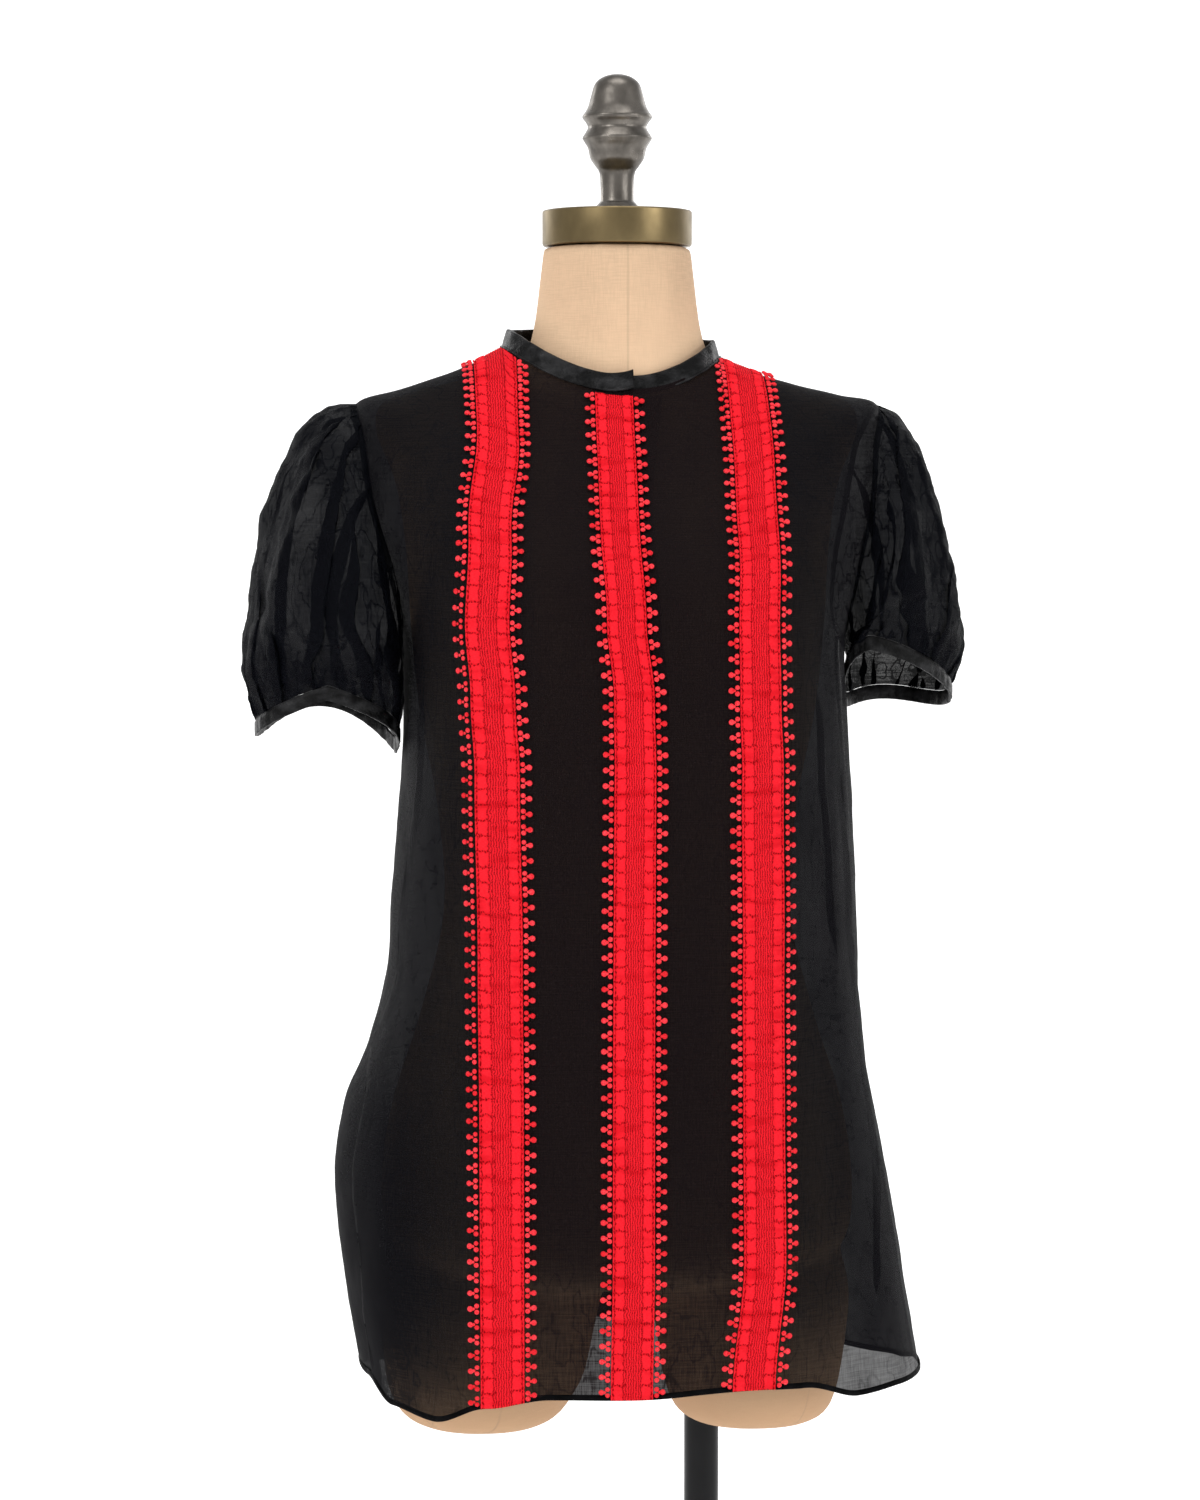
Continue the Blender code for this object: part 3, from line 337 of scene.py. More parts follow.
def tubeMesh(name, path, radius, sides, material):
    # A round thread along a nearly level path
    along = unit(np.gradient(path, axis=0))
    across = unit(np.cross(along, upward))
    up = np.cross(across, along)
    turns = turnsAround(sides)
    rings = [path + (across * math.cos(turn) + up * math.sin(turn)) * radius for turn in turns]
    return linkMesh(name, np.stack(rings, 1), gridFaces(len(path), sides, closed=True), material)


def scaled(colour, by):
    return tuple(np.minimum(np.array(colour) * by, 1).tolist())


class NodeTree:
    # A material of one look, built up node by node
    def __init__(self, name, look):
        self.material = bpy.data.materials.new(name)
        self.material.use_nodes = True
        self.tree = self.material.node_tree
        self.shader = self.tree.nodes["Principled BSDF"].inputs
        self.shader["Base Color"].default_value = (*look["colour"], 1)
        self.shader["Roughness"].default_value = look["roughness"]
        self.shader["Metallic"].default_value = look.get("metallic", 0)
        self.shader["Specular IOR Level"].default_value = look.get("specular", 0.5)

    def fill(self, socket, value):
        if isinstance(value, bpy.types.NodeSocket):
            self.tree.links.new(value, socket)
        else:
            socket.default_value = value

    def add(self, kind, settings=None, **sockets):
        node = self.tree.nodes.new(kind)
        for key, value in (settings or {}).items():
            setattr(node, key, value)
        for key, value in sockets.items():
            place = int(key[1:]) if key[0] == "n" and key[1:].isdigit() else key
            self.fill(node.inputs[place], value)
        return node

    def drawn(self, scale, kind="Object"):
        place = self.add("ShaderNodeTexCoord").outputs[kind]
        return self.add("ShaderNodeMapping", Vector=place, Scale=scale).outputs["Vector"]

    def streaks(self, scale, detail=3.0, kind="Object"):
        # Noise drawn out along the axes by a different scale for each
        place = self.drawn(scale, kind)
        return self.add("ShaderNodeTexNoise", Vector=place, Scale=1.0, Detail=detail).outputs["Fac"]

    def parts(self, kind="Object"):
        place = self.add("ShaderNodeTexCoord").outputs[kind]
        parts = self.add("ShaderNodeSeparateXYZ", Vector=place).outputs
        return parts["X"], parts["Y"], parts["Z"]

    def mapped(self, value, low, high, fromLow=0.3, fromHigh=0.7):
        return self.add("ShaderNodeMapRange", n0=value, n1=fromLow, n2=fromHigh,
                        n3=low, n4=high).outputs["Result"]

    def worked(self, operation, a, b=0.0):
        return self.add("ShaderNodeMath", {"operation": operation}, n0=a, n1=b).outputs[0]

    def plus(self, a, b):
        return self.worked("ADD", a, b)

    def times(self, a, b):
        return self.worked("MULTIPLY", a, b)

    def most(self, a, b):
        return self.worked("MAXIMUM", a, b)

    def apart(self, value, middle):
        return self.worked("ABSOLUTE", self.worked("SUBTRACT", value, middle))

    def mixed(self, share, a, b):
        node = self.add("ShaderNodeMix", {"data_type": "RGBA"}, n0=share)
        for socket, value in ((node.inputs[6], a), (node.inputs[7], b)):
            self.fill(socket, (*value, 1) if isinstance(value, tuple) else value)
        return node.outputs[2]

    def bump(self, height, distance, strength):
        bump = self.add("ShaderNodeBump", Height=height, Distance=distance, Strength=strength)
        self.fill(self.shader["Normal"], bump.outputs["Normal"])


# The voile looks hold painted shade as extra density at the back low down and at the foot of the left side
voileLook = {"colour": (0.0024, 0.0022, 0.0032), "paintedFormLight": (0.0066, 0.0037, 0.0042),
             "roughness": 0.7, "specular": 0.05, "alphaThin": 0.872, "alphaThick": 0.932, "alphaMost": 0.991,
             "middle": 0.040, "high": 0.034, "behind": 0.034, "leftFootShade": 0.100, "cloud": 1.7,
             "creased": 0.034, "crease": 0.0006, "grain": 0.25}
# The puffs take stronger painted shade at the back low down, inside the cuffs
puffLook = dict(voileLook, colour=(0.0009, 0.0011, 0.0022), alphaThin=0.860, alphaThick=0.942, high=0.0,
                behind=0.070, creased=0.080, crease=0.0018)


def makeVoile(name, look):
    tree = NodeTree(name, look)
    threads = tree.plus(tree.streaks((55, 55, 1500)), tree.streaks((1500, 1500, 60)))
    threads = tree.times(threads, 0.5)
    alpha = tree.mapped(threads, look["alphaThin"], look["alphaThick"], 0.38, 0.62)
    # Crinkles: thin wandering lines where the cloth is pressed together, denser than the rest
    crinkles = tree.streaks((75, 75, 34), 1.6)
    lines = tree.mapped(tree.apart(crinkles, 0.5), look["creased"], 0.0, 0.0, 0.030)
    drift = look["creased"] * 0.5
    drifts = tree.mapped(tree.streaks((42, 42, 13), 1.0), -drift, drift)
    alpha = tree.plus(alpha, tree.plus(lines, drifts))
    # Painted shade: denser at the back low down (inside the cuffs) and at the foot of the left side. Also
    # denser down the middle and over the chest
    x, y, z = tree.parts()
    middle = tree.mapped(tree.worked("ABSOLUTE", x), 1.0, 0.0, 0.060, 0.110)
    high = tree.mapped(z, 0.0, look["high"], 1.16, 1.32)
    foot = tree.times(tree.mapped(x, look["leftFootShade"], 0.0, -0.160, -0.128),
                      tree.mapped(z, 1.0, 0.0, 0.78, 0.95))
    behind = tree.times(tree.mapped(y, 0.0, look["behind"], 0.0, 0.03),
                        tree.mapped(z, 1.0, 0.0, 1.180, 1.215))
    dense = tree.most(tree.times(middle, look["middle"]), high)
    alpha = tree.plus(tree.plus(alpha, tree.plus(dense, foot)), behind)
    tree.fill(tree.shader["Alpha"], tree.worked("MINIMUM", alpha, look["alphaMost"]))
    tint = tree.mixed(tree.streaks((14, 14, 9)), look["colour"], scaled(look["colour"], look["cloud"]))
    # Down the middle the cloth is denser and its colour turns warm: painted light of the linen form seen
    # through the cloth
    tree.fill(tree.shader["Base Color"], tree.mixed(middle, tint, look["paintedFormLight"]))
    tree.bump(tree.plus(tree.times(threads, look["grain"]), crinkles), look["crease"], 0.6)
    return tree.material


# The second colour of the binding and hem looks is painted sheen, laid on the peaks of their soft creases
bindingLook = {"colour": (0.0010, 0.0010, 0.0012), "paintedSheen": (0.034, 0.034, 0.036), "roughness": 0.33,
               "specular": 0.13, "grain": 0.3, "crease": 0.0022}
hemLook = dict(bindingLook, colour=(0.0008, 0.0008, 0.0010), paintedSheen=(0.004, 0.004, 0.005), roughness=0.6,
               specular=0.04)


def makeBinding(name, look):
    tree = NodeTree(name, look)
    grain = tree.streaks((700, 700, 700), 2.0)
    creased = tree.streaks((75, 75, 120), 4.0)
    # Painted sheen: the base colour lightens on the peaks of the soft creases
    paintedSheen = tree.mapped(creased, 0.0, 1.0, 0.40, 0.80)
    tree.fill(tree.shader["Base Color"], tree.mixed(paintedSheen, look["colour"], look["paintedSheen"]))
    rough = tree.mapped(creased, look["roughness"] + 0.14, look["roughness"] - 0.08)
    tree.fill(tree.shader["Roughness"], rough)
    tree.bump(tree.plus(tree.times(grain, look["grain"]), creased), look["crease"], 0.8)
    return tree.material


# The linen's darker low colour is painted shade on the thighs under the blouse
linenLook = {"colour": (0.76, 0.53, 0.345), "roughness": 0.9, "specular": 0.15, "dark": 0.80, "pale": 1.12,
             "paintedLowShade": (0.66, 0.56, 0.48), "cracked": 0.5, "seamPlace": 0.003, "relief": 0.0008}


def makeLinen(name, look):
    tree = NodeTree(name, look)
    weave = tree.times(tree.streaks((90, 90, 1300), 2.0), tree.streaks((1300, 1300, 90), 2.0))
    cracks = tree.add("ShaderNodeTexVoronoi", {"feature": "DISTANCE_TO_EDGE"},
                      Vector=tree.drawn((16, 16, 7)), Scale=1.0, Randomness=1.0)
    crackLine = tree.mapped(cracks.outputs["Distance"], 1.0, 0.0, 0.0, 0.016)
    patchy = tree.mapped(tree.streaks((9, 9, 9), 2.0), 0.0, 0.5, 0.52, 0.62)
    crackLine = tree.times(crackLine, patchy)
    dark, pale, paintedLowShade, cracked = (scaled(look["colour"], look[key])
                                    for key in ("dark", "pale", "paintedLowShade", "cracked"))
    tint = tree.mixed(tree.mapped(tree.streaks((12, 12, 9), 4.0), 0, 1), dark, pale)
    tint = tree.mixed(tree.mapped(weave, 0.0, 0.35, 0.15, 0.35), tint, pale)
    x, _, z = tree.parts()
    # Painted shade: the linen darkens low down, where the thighs sit under the blouse
    tint = tree.mixed(tree.mapped(z, 0.75, 0.0, 0.68, 0.86), tint, paintedLowShade)  # darker low down
    seam = tree.mapped(tree.apart(x, look["seamPlace"]), 0.35, 0.0, 0.0, 0.0012)
    tint = tree.mixed(tree.most(crackLine, seam), tint, cracked)
    tree.fill(tree.shader["Base Color"], tint)
    tree.bump(tree.worked("SUBTRACT", weave, crackLine), look["relief"], 0.5)
    return tree.material


# Painted reflection: the brass and pewter colours are darkened to stand in for a dark studio mirrored in them
brassLook = {"colour": (0.200, 0.150, 0.075), "roughness": 0.36, "metallic": 1.0, "blotch": 30,
             "relief": 0.0001}
pewterLook = {"colour": (0.170, 0.155, 0.138), "roughness": 0.32, "metallic": 1.0, "blotch": 90,
              "relief": 0.0007}
steelLook = {"colour": (0.004, 0.004, 0.005), "roughness": 0.30, "specular": 0.22, "blotch": 20,
             "relief": 0.00002}


def makeMetal(name, look):
    tree = NodeTree(name, look)
    blotch, colour = look["blotch"], look["colour"]
    clouds = tree.streaks((blotch, blotch, blotch * 0.7), 4.0)
    tint = tree.mixed(tree.mapped(clouds, 0, 1), scaled(colour, 0.6), scaled(colour, 1.35))
    tree.fill(tree.shader["Base Color"], tint)
    rough = tree.mapped(clouds, look["roughness"] + 0.12, look["roughness"] - 0.08)
    tree.fill(tree.shader["Roughness"], rough)
    fine = tree.times(tree.streaks((900, 900, 40), 2.0), 0.1)
    tree.bump(tree.plus(clouds, fine), look["relief"], 0.6)
    return tree.material


laceLook = {"colour": (0.98, 0.0065, 0.018), "dark": (0.34, 0.0006, 0.003), "pale": (1.0, 0.034, 0.052),
            "shade": (0.68, 0.002, 0.008), "knot": (1.0, 0.085, 0.105), "roughness": 0.8, "specular": 0.06}
laceBand = {"halfWidth": 0.0145, "pitch": 0.0101, "slantRows": 9, "endGap": 0.0026, "lift": 0.0011,
            "knotSpread": 0.0020}
# Knots of one picot: distance out from the band's edge, places along it, radius
picotKnots = ((0.0022, (-1, 1), 0.00168), (0.0042, (0,), 0.00105), (0.0063, (0,), 0.00195))
laceShare = ((0.71, 0.985, 0.955, 0.985), (1.10, 0.970, 0.940, 0.970), (1.25, 0.935, 0.880, 0.935),
             (1.40, 0.930, 0.865, 0.930))  # height, then how much of its full width each band shows


def makeLace(name, look):
    # The UV map holds millimetres across the band and along it, so the stitches follow the band
    tree = NodeTree(name, look)
    across, along, _ = tree.parts("UV")
    wavering = tree.mapped(tree.streaks((0.21, 0.33, 1), 1.5, "UV"), -0.9, 0.9, 0.2, 0.8)
    across = tree.plus(across, wavering)
    wavering = tree.mapped(tree.streaks((0.36, 0.19, 2), 1.5, "UV"), -1.9, 1.9, 0.2, 0.8)
    along = tree.plus(along, wavering)
    pitch = laceBand["pitch"] * 1000
    inRow = tree.worked("FRACT", tree.worked("DIVIDE", along, pitch))
    fromRow = tree.times(tree.worked("MINIMUM", inRow, tree.worked("SUBTRACT", 1.0, inRow)), pitch)
    out = tree.worked("ABSOLUTE", across)

    def stitched(value, middle, width, beside, spacing, floor=0.25):
        # A line at a value, broken into stitches along the other direction
        line = tree.mapped(tree.apart(value, middle), 1.0, 0.0, width * 0.35, width)
        wave = tree.worked("SINE", tree.times(beside, 2 * math.pi / spacing))
        return tree.times(line, tree.mapped(wave, floor, 1.0, -0.3, 0.5))

    inBlocks = tree.worked("GREATER_THAN", out, 4.3)
    dark = tree.times(stitched(fromRow, 0.0, 0.85, across, 1.75), inBlocks)
    dark = tree.most(dark, tree.most(stitched(out, 13.0, 0.6, along, 3.4),
                                     stitched(out, 5.95, 0.6, along, 1.3, 0.4)))
    for middle in (0.85, 2.55, 4.25):
        dark = tree.most(dark, stitched(out, middle, 0.58, along, 1.15, 0.35))
    stitches = tree.streaks((0.6, 4.5, 1), 3.0, "UV")
    waves = tree.streaks((0.03, 0.11, 1), 2.0, "UV")
    tint = tree.mixed(tree.mapped(stitches, 0.0, 0.9, 0.35, 0.7), look["colour"], look["pale"])
    tint = tree.mixed(tree.mapped(waves, 0.5, 0.0, 0.34, 0.46), tint, look["shade"])
    tree.fill(tree.shader["Base Color"], tree.mixed(dark, tint, look["dark"]))
    tree.bump(tree.worked("SUBTRACT", stitches, dark), 0.0006, 0.8)
    return tree.material


def makeKnots(name, look):
    tree = NodeTree(name, look)
    wound = tree.streaks((1500, 1500, 1500), 2.0)
    shade = tree.mapped(tree.streaks((70, 70, 70), 1.0), 0.6, 0.0, 0.35, 0.55)
    tint = tree.mixed(tree.mapped(wound, 0.1, 1.0, 0.35, 0.62), look["colour"], look["knot"])
    tree.fill(tree.shader["Base Color"], tree.mixed(shade, tint, look["shade"]))
    tree.bump(wound, 0.0005, 0.8)
    return tree.material


voile = makeVoile("voile", voileLook)
puffVoile = makeVoile("puffVoile", puffLook)
binding = makeBinding("binding", bindingLook)
hemRoll = makeBinding("hemRoll", hemLook)
linen = makeLinen("linen", linenLook)
brass = makeMetal("brass", brassLook)
pewter = makeMetal("pewter", pewterLook)
blackSteel = makeMetal("blackSteel", steelLook)
lace = makeLace("laceBody", laceLook)
laceKnots = makeKnots("laceKnots", laceLook)
print("materials made")

panelCuts = {"armholeFront": math.radians(21), "armholeBack": math.radians(24),
             "seamHalfGap": 0.00045, "clothMiddle": -0.0006,
             "hangingRows": 120, "armholeRows": 56, "shoulderRows": 32,
             "sideCells": 62, "laceCells": 10, "betweenCells": 20, "backCells": 170,
             "slitHalfGap": 0.0006, "slitFoot": 9.0, "ruffleSize": 0.035, "ruffle": 0.0009,
             "fineShare": 0.3, "neckIn": 0.985, "neckRise": 0.0036}

# Soft pleats of the front's sides, where the cloth folds over itself: each has rows of level, x and width
frontPleats = (
    ((0.0, -0.168, 0.012), (1.4, -0.174, 0.013), (3.0, -0.180, 0.013), (4.6, -0.171, 0.012),
     (6.4, -0.151, 0.010), (8.8, -0.138, 0.005), (9.8, -0.134, 0.0)),
    ((1.0, 0.166, 0.0), (1.8, 0.169, 0.005), (3.0, 0.171, 0.010), (5.0, 0.164, 0.014), (7.0, 0.151, 0.009),
     (8.8, 0.142, 0.003), (9.6, 0.137, 0.0)),
    ((5.6, 0.146, 0.0), (7.2, 0.133, 0.005), (8.8, 0.126, 0.005), (9.9, 0.120, 0.0)),
)
pleatCut = {"halfWidth": 0.055, "depth": 0.0024, "reach": 3.2, "peak": 0.607, "fullFrom": 0.004,
            "frontRadius": 0.16, "sleeveRadius": 0.055, "fadeBeside": 0.12}


def pleated(angles, middle, width, radius, turnOver):
    # Angles that run back over themselves around a middle, and how far the under layers lie in
    cut = pleatCut
    share = np.clip(width / cut["fullFrom"], 0, 1)
    x = (angles - middle) / cut["halfWidth"]
    pull = (width / radius / 2 + cut["halfWidth"]) / cut["peak"] * share
    moved = angles - pull * x * np.exp(-x * x / 2)
    under = 0.5 + 0.5 * np.tanh(1.6 * x * turnOver)
    return moved, -cut["depth"] * share * under * np.exp(-((x / cut["reach"]) ** 2))


def panelLevels():
    hanging = np.linspace(0, 1, panelCuts["hangingRows"], endpoint=False) * underarm
    turning = np.linspace(0, math.pi, panelCuts["armholeRows"], endpoint=False)
    shoulder = np.linspace(shoulderTip, neckline, panelCuts["shoulderRows"])
    return np.concatenate([hanging, armholeMiddle - armholeHalf * np.cos(turning), shoulder])


def softened(points, levels):
    # Small soft unevenness that dies out at the shoulders and the neck
    ruffle = ruffled(points, panelCuts["ruffleSize"], panelCuts["ruffle"], 3.7)
    fine = panelCuts["fineShare"]
    ruffle = ruffled(ruffle, panelCuts["ruffleSize"] * fine, panelCuts["ruffle"] * fine, 9.1)
    share = np.clip((shoulderTip + 2 - levels) / 4, 0.15, 1)[:, None, None]
    return points + (ruffle - points) * share


def risen(points):
    # One more row at the neck, which goes up behind the neck band
    inward = panelCuts["neckIn"]
    last = points[-1] * np.array([inward, inward, 1.0]) + upward * panelCuts["neckRise"]
    return np.concatenate([points, last[None]])


def makeFront():
    cut = panelCuts
    levels = panelLevels()
    edge = math.pi / 2 - armholeAngle(levels, cut["armholeFront"])
    low = np.minimum(levels, shoulderTip)
    left, centre, right = (laceX(column, low) for column in range(3))
    half = laceBand["halfWidth"]
    slit = centre + half
    places = (left - half, left + half, centre - half, slit - cut["slitHalfGap"],
              slit + cut["slitHalfGap"], right - half, right + half)
    anchors = [-edge] + [angleAt(x, low) for x in places] + [edge]
    cells = (cut["sideCells"], cut["laceCells"], cut["betweenCells"], cut["laceCells"], 1,
             cut["betweenCells"], cut["laceCells"], cut["sideCells"])
    columns = [anchors[0]]
    for start, end, count in zip(anchors, anchors[1:], cells):
        columns += [start + (end - start) * i / count for i in range(1, count + 1)]
    angles = np.stack(columns, 1)
    outs = np.full(angles.shape, cut["clothMiddle"])
    for path in frontPleats:
        x, width = easedAt(path, levels).T
        width = width * ((levels >= path[0][0]) & (levels <= path[-1][0]))
        middle = angleAt(x, np.minimum(levels, underarm))[:, None]
        laceEdge = (anchors[1] if x[0] < 0 else anchors[7])[:, None]
        own = angles < laceEdge if x[0] < 0 else angles > laceEdge
        room = np.minimum(np.abs(angles - laceEdge), edge[:, None] - np.abs(angles)) / pleatCut["fadeBeside"]
        moved, sunk = pleated(angles, middle, width[:, None], pleatCut["frontRadius"], np.sign(x[0]))
        share = np.clip(room, 0, 1) * own
        angles, outs = angles + (moved - angles) * share, outs + sunk * share
    points = blouseOffset(angles, levels[:, None], outs)
    points[:, (0, -1), 1] -= cut["seamHalfGap"]
    points = risen(softened(points, levels))
    slitColumn = sum(cells[:4])
    slitRow = int(np.searchsorted(levels, cut["slitFoot"]))
    faces = gridFaces(*points.shape[:2], skip=lambda r, c: c == slitColumn and r >= slitRow)
    piece = linkMesh("frontPanel", points, faces, voile)
    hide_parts("front")
    return piece


def makeBack():
    cut = panelCuts
    levels = panelLevels()
    edge = math.pi / 2 + armholeAngle(levels, cut["armholeBack"])
    shares = np.linspace(0, 1, cut["backCells"] + 1)[None, :]
    angles = edge[:, None] + (2 * math.pi - 2 * edge[:, None]) * shares
    points = blouseOffset(angles, levels[:, None], cut["clothMiddle"])
    points[:, (0, -1), 1] += cut["seamHalfGap"]
    points = risen(softened(points, levels))
    piece = linkMesh("backPanel", points, gridFaces(*points.shape[:2]), voile)
    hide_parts("back")
    return piece


frontPanel, backPanel = makeFront(), makeBack()
print("panels made", round(sheetArea(frontPanel), 4), round(sheetArea(backPanel), 4))

underlapCut = {"left": -0.0100, "reachTop": 0.0190, "reachFoot": 0.0080, "widensFrom": 0.50,
               "depth": -0.0026, "thickness": 0.0007, "below": 0.1, "rows": 80, "cells": 16}


def makeUnderlap():
    cut = underlapCut
    levels = np.linspace(panelCuts["slitFoot"], neckline - cut["below"], cut["rows"])
    share = (levels - levels[0]) / (levels[-1] - levels[0])
    share = np.clip((share - cut["widensFrom"]) / (1 - cut["widensFrom"]), 0, 1)
    centre, half = laceX(1, levels), laceBand["halfWidth"]
    reach = half + cut["reachFoot"] + (cut["reachTop"] - cut["reachFoot"]) * share
    across = np.linspace(0, 1, cut["cells"] + 1)[None, :]
    x = centre[:, None] + cut["left"] + (reach - cut["left"])[:, None] * across
    angles = angleAt(x, levels[:, None])
    layers = [blouseOffset(angles, levels[:, None], depth)
              for depth in (cut["depth"], cut["depth"] - cut["thickness"])]
    faces = gridFaces(*x.shape) + gridFaces(*x.shape, start=x.size)
    piece = linkMesh("underlap", np.concatenate(layers), faces, voile)
    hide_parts("placket_underlap")
    return piece


underlap = makeUnderlap()

# Outside x and z, front x, y and z, inside x and z, back x, y and z, from the armhole to the cuff
leftSleeve = (
    (0.1765, 1.3640, 0.1690, -0.052, 1.3000, 0.1475, 1.2060, 0.1650, 0.060, 1.3000, 2.00, 0.046, 0.00),
    (0.1960, 1.3600, 0.1830, -0.066, 1.2830, 0.1490, 1.1980, 0.1800, 0.072, 1.2830, 2.00, 0.046, 0.00),
    (0.2140, 1.3430, 0.1920, -0.075, 1.2620, 0.1495, 1.1910, 0.1920, 0.080, 1.2620, 2.00, 0.046, 0.00),
    (0.2280, 1.3110, 0.1980, -0.079, 1.2400, 0.1495, 1.1830, 0.1980, 0.084, 1.2380, 1.90, 0.046, 0.02),
    (0.2390, 1.2730, 0.2020, -0.080, 1.2180, 0.1495, 1.1740, 0.2010, 0.084, 1.2150, 1.70, 0.046, 0.05),
    (0.2470, 1.2320, 0.2040, -0.077, 1.2020, 0.1495, 1.1650, 0.2010, 0.080, 1.1960, 1.50, 0.046, 0.10),
    (0.2535, 1.1860, 0.2050, -0.068, 1.1870, 0.1495, 1.1520, 0.1990, 0.068, 1.1780, 1.25, 0.046, 0.15),
    (0.2450, 1.1490, 0.2060, -0.056, 1.1745, 0.1495, 1.1370, 0.1960, 0.054, 1.1660, 1.10, 0.046, 0.19),
)
rightSleeve = (
    (0.1765, 1.3640, 0.1700, -0.051, 1.3000, 0.1540, 1.2060, 0.1660, 0.060, 1.3000, 2.00, 0.014, 0.00),
    (0.1915, 1.3550, 0.1810, -0.064, 1.2850, 0.1575, 1.1990, 0.1800, 0.072, 1.2850, 2.00, 0.014, 0.00),
    (0.2040, 1.3350, 0.1870, -0.073, 1.2690, 0.1580, 1.1960, 0.1900, 0.080, 1.2650, 2.00, 0.014, 0.00),
    (0.2140, 1.3050, 0.1900, -0.077, 1.2550, 0.1585, 1.1920, 0.1950, 0.083, 1.2430, 1.90, 0.014, -0.05),
    (0.2230, 1.2710, 0.1900, -0.077, 1.2430, 0.1595, 1.1880, 0.1970, 0.083, 1.2220, 1.75, 0.014, -0.10),
    (0.2320, 1.2350, 0.1880, -0.073, 1.2320, 0.1574, 1.1840, 0.1960, 0.079, 1.2010, 1.55, 0.014, -0.15),
    (0.2370, 1.1970, 0.1840, -0.063, 1.2220, 0.1558, 1.1800, 0.1930, 0.067, 1.1820, 1.30, 0.014, -0.15),
    (0.2300, 1.1720, 0.1780, -0.054, 1.2080, 0.1547, 1.1710, 0.1900, 0.053, 1.1700, 1.30, 0.014, -0.15),
)
# Pleats of the sleeves, where the cloth folds over itself: rows of share, turn in degrees and width
leftPleats = (
    ((0.00, 44, 0.003), (0.07, 54, 0.006), (0.20, 65, 0.008), (0.36, 69, 0.009), (0.53, 70, 0.008),
     (0.73, 72, 0.007), (0.90, 69, 0.005), (1.00, 68, 0.002)),
    ((0.14, 80, 0.0), (0.34, 88, 0.006), (0.55, 86, 0.008), (0.82, 98, 0.008), (1.00, 101, 0.003)),
    ((0.03, 24, 0.0), (0.13, 35, 0.004), (0.30, 46, 0.003), (0.44, 54, 0.0)),
    ((0.00, 92, 0.004), (0.14, 108, 0.009), (0.40, 122, 0.012), (0.62, 118, 0.013), (0.85, 126, 0.012),
     (1.00, 130, 0.004)),
    ((0.00, 128, 0.004), (0.20, 142, 0.012), (0.60, 150, 0.016), (0.88, 154, 0.015), (1.00, 158, 0.005)),
    ((0.60, 20, 0.0), (0.80, 27, 0.005), (1.00, 31, 0.003)),
    ((0.70, 44, 0.0), (0.86, 49, 0.006), (1.00, 51, 0.003)),
    ((0.00, 330, 0.003), (0.35, 316, 0.009), (0.75, 306, 0.008), (1.00, 302, 0.003)),
    ((0.00, 276, 0.003), (0.30, 264, 0.010), (0.70, 257, 0.010), (1.00, 254, 0.003)),
    ((0.04, 228, 0.0), (0.50, 216, 0.009), (1.00, 211, 0.004)),
)
rightPleats = (
    ((0.00, 12, 0.004), (0.08, 34, 0.010), (0.20, 66, 0.013), (0.44, 90, 0.015), (0.79, 78, 0.013),
     (1.00, 62, 0.005)),
    ((0.00, 84, 0.003), (0.10, 104, 0.009), (0.30, 126, 0.013), (0.60, 134, 0.013), (0.90, 142, 0.010),
     (1.00, 146, 0.004)),
    ((0.03, 60, 0.0), (0.14, 84, 0.004), (0.40, 108, 0.005), (0.70, 113, 0.0)),
    ((0.55, 30, 0.0), (0.80, 40, 0.005), (1.00, 44, 0.003)),
    ((0.00, 334, 0.003), (0.35, 320, 0.009), (0.75, 308, 0.008), (1.00, 302, 0.003)),
    ((0.00, 286, 0.003), (0.30, 272, 0.009), (0.62, 265, 0.004), (0.80, 262, 0.0)),
    ((0.04, 232, 0.0), (0.50, 221, 0.008), (1.00, 214, 0.004)),
)
# Tucks of the sleeves' lower edge at the cuff: turn in degrees, width and how far up they reach
cuffTucks = (
    (191, 0.0030, 0.16), (202, 0.0042, 0.36), (214, 0.0034, 0.24), (224, 0.0056, 0.42), (235, 0.0032, 0.26),
    (245, 0.0052, 0.40), (257, 0.0038, 0.46), (268, 0.0050, 0.30), (279, 0.0034, 0.38), (291, 0.0044, 0.30),
    (303, 0.0036, 0.34), (316, 0.0030, 0.20), (330, 0.0034, 0.26), (346, 0.0026, 0.16), (8, 0.0028, 0.14),
    (24, 0.0030, 0.10), (38, 0.0028, 0.16), (83, 0.0030, 0.12), (112, 0.0032, 0.17), (172, 0.0028, 0.12),
)
sleeveCut = {"rows": 120, "columns": 600, "folds": 8, "foldSwell": 0.0042,
             "headGathers": 30, "headGather": 0.0014, "headFade": 0.10, "headLean": -1.5,
             "cuffGathers": 38, "cuffGather": 0.0016, "cuffFade": 0.11, "cuffLean": -1.7, "edgeFade": 0.015,
             "seamSink": 0.0004, "ruffleSize": 0.020, "ruffle": 0.0027}


def armholePoint(turn, side):
    level = armholeMiddle + armholeHalf * np.cos(turn)
    widest = np.where(np.sin(turn) > 0, panelCuts["armholeFront"], panelCuts["armholeBack"])
    angle = math.pi / 2 - widest * np.sin(turn)
    point = blouseOffset(side * angle, level, panelCuts["clothMiddle"] - sleeveCut["seamSink"])
    point[..., 1] -= np.sign(np.sin(turn)) * panelCuts["seamHalfGap"]
    return point


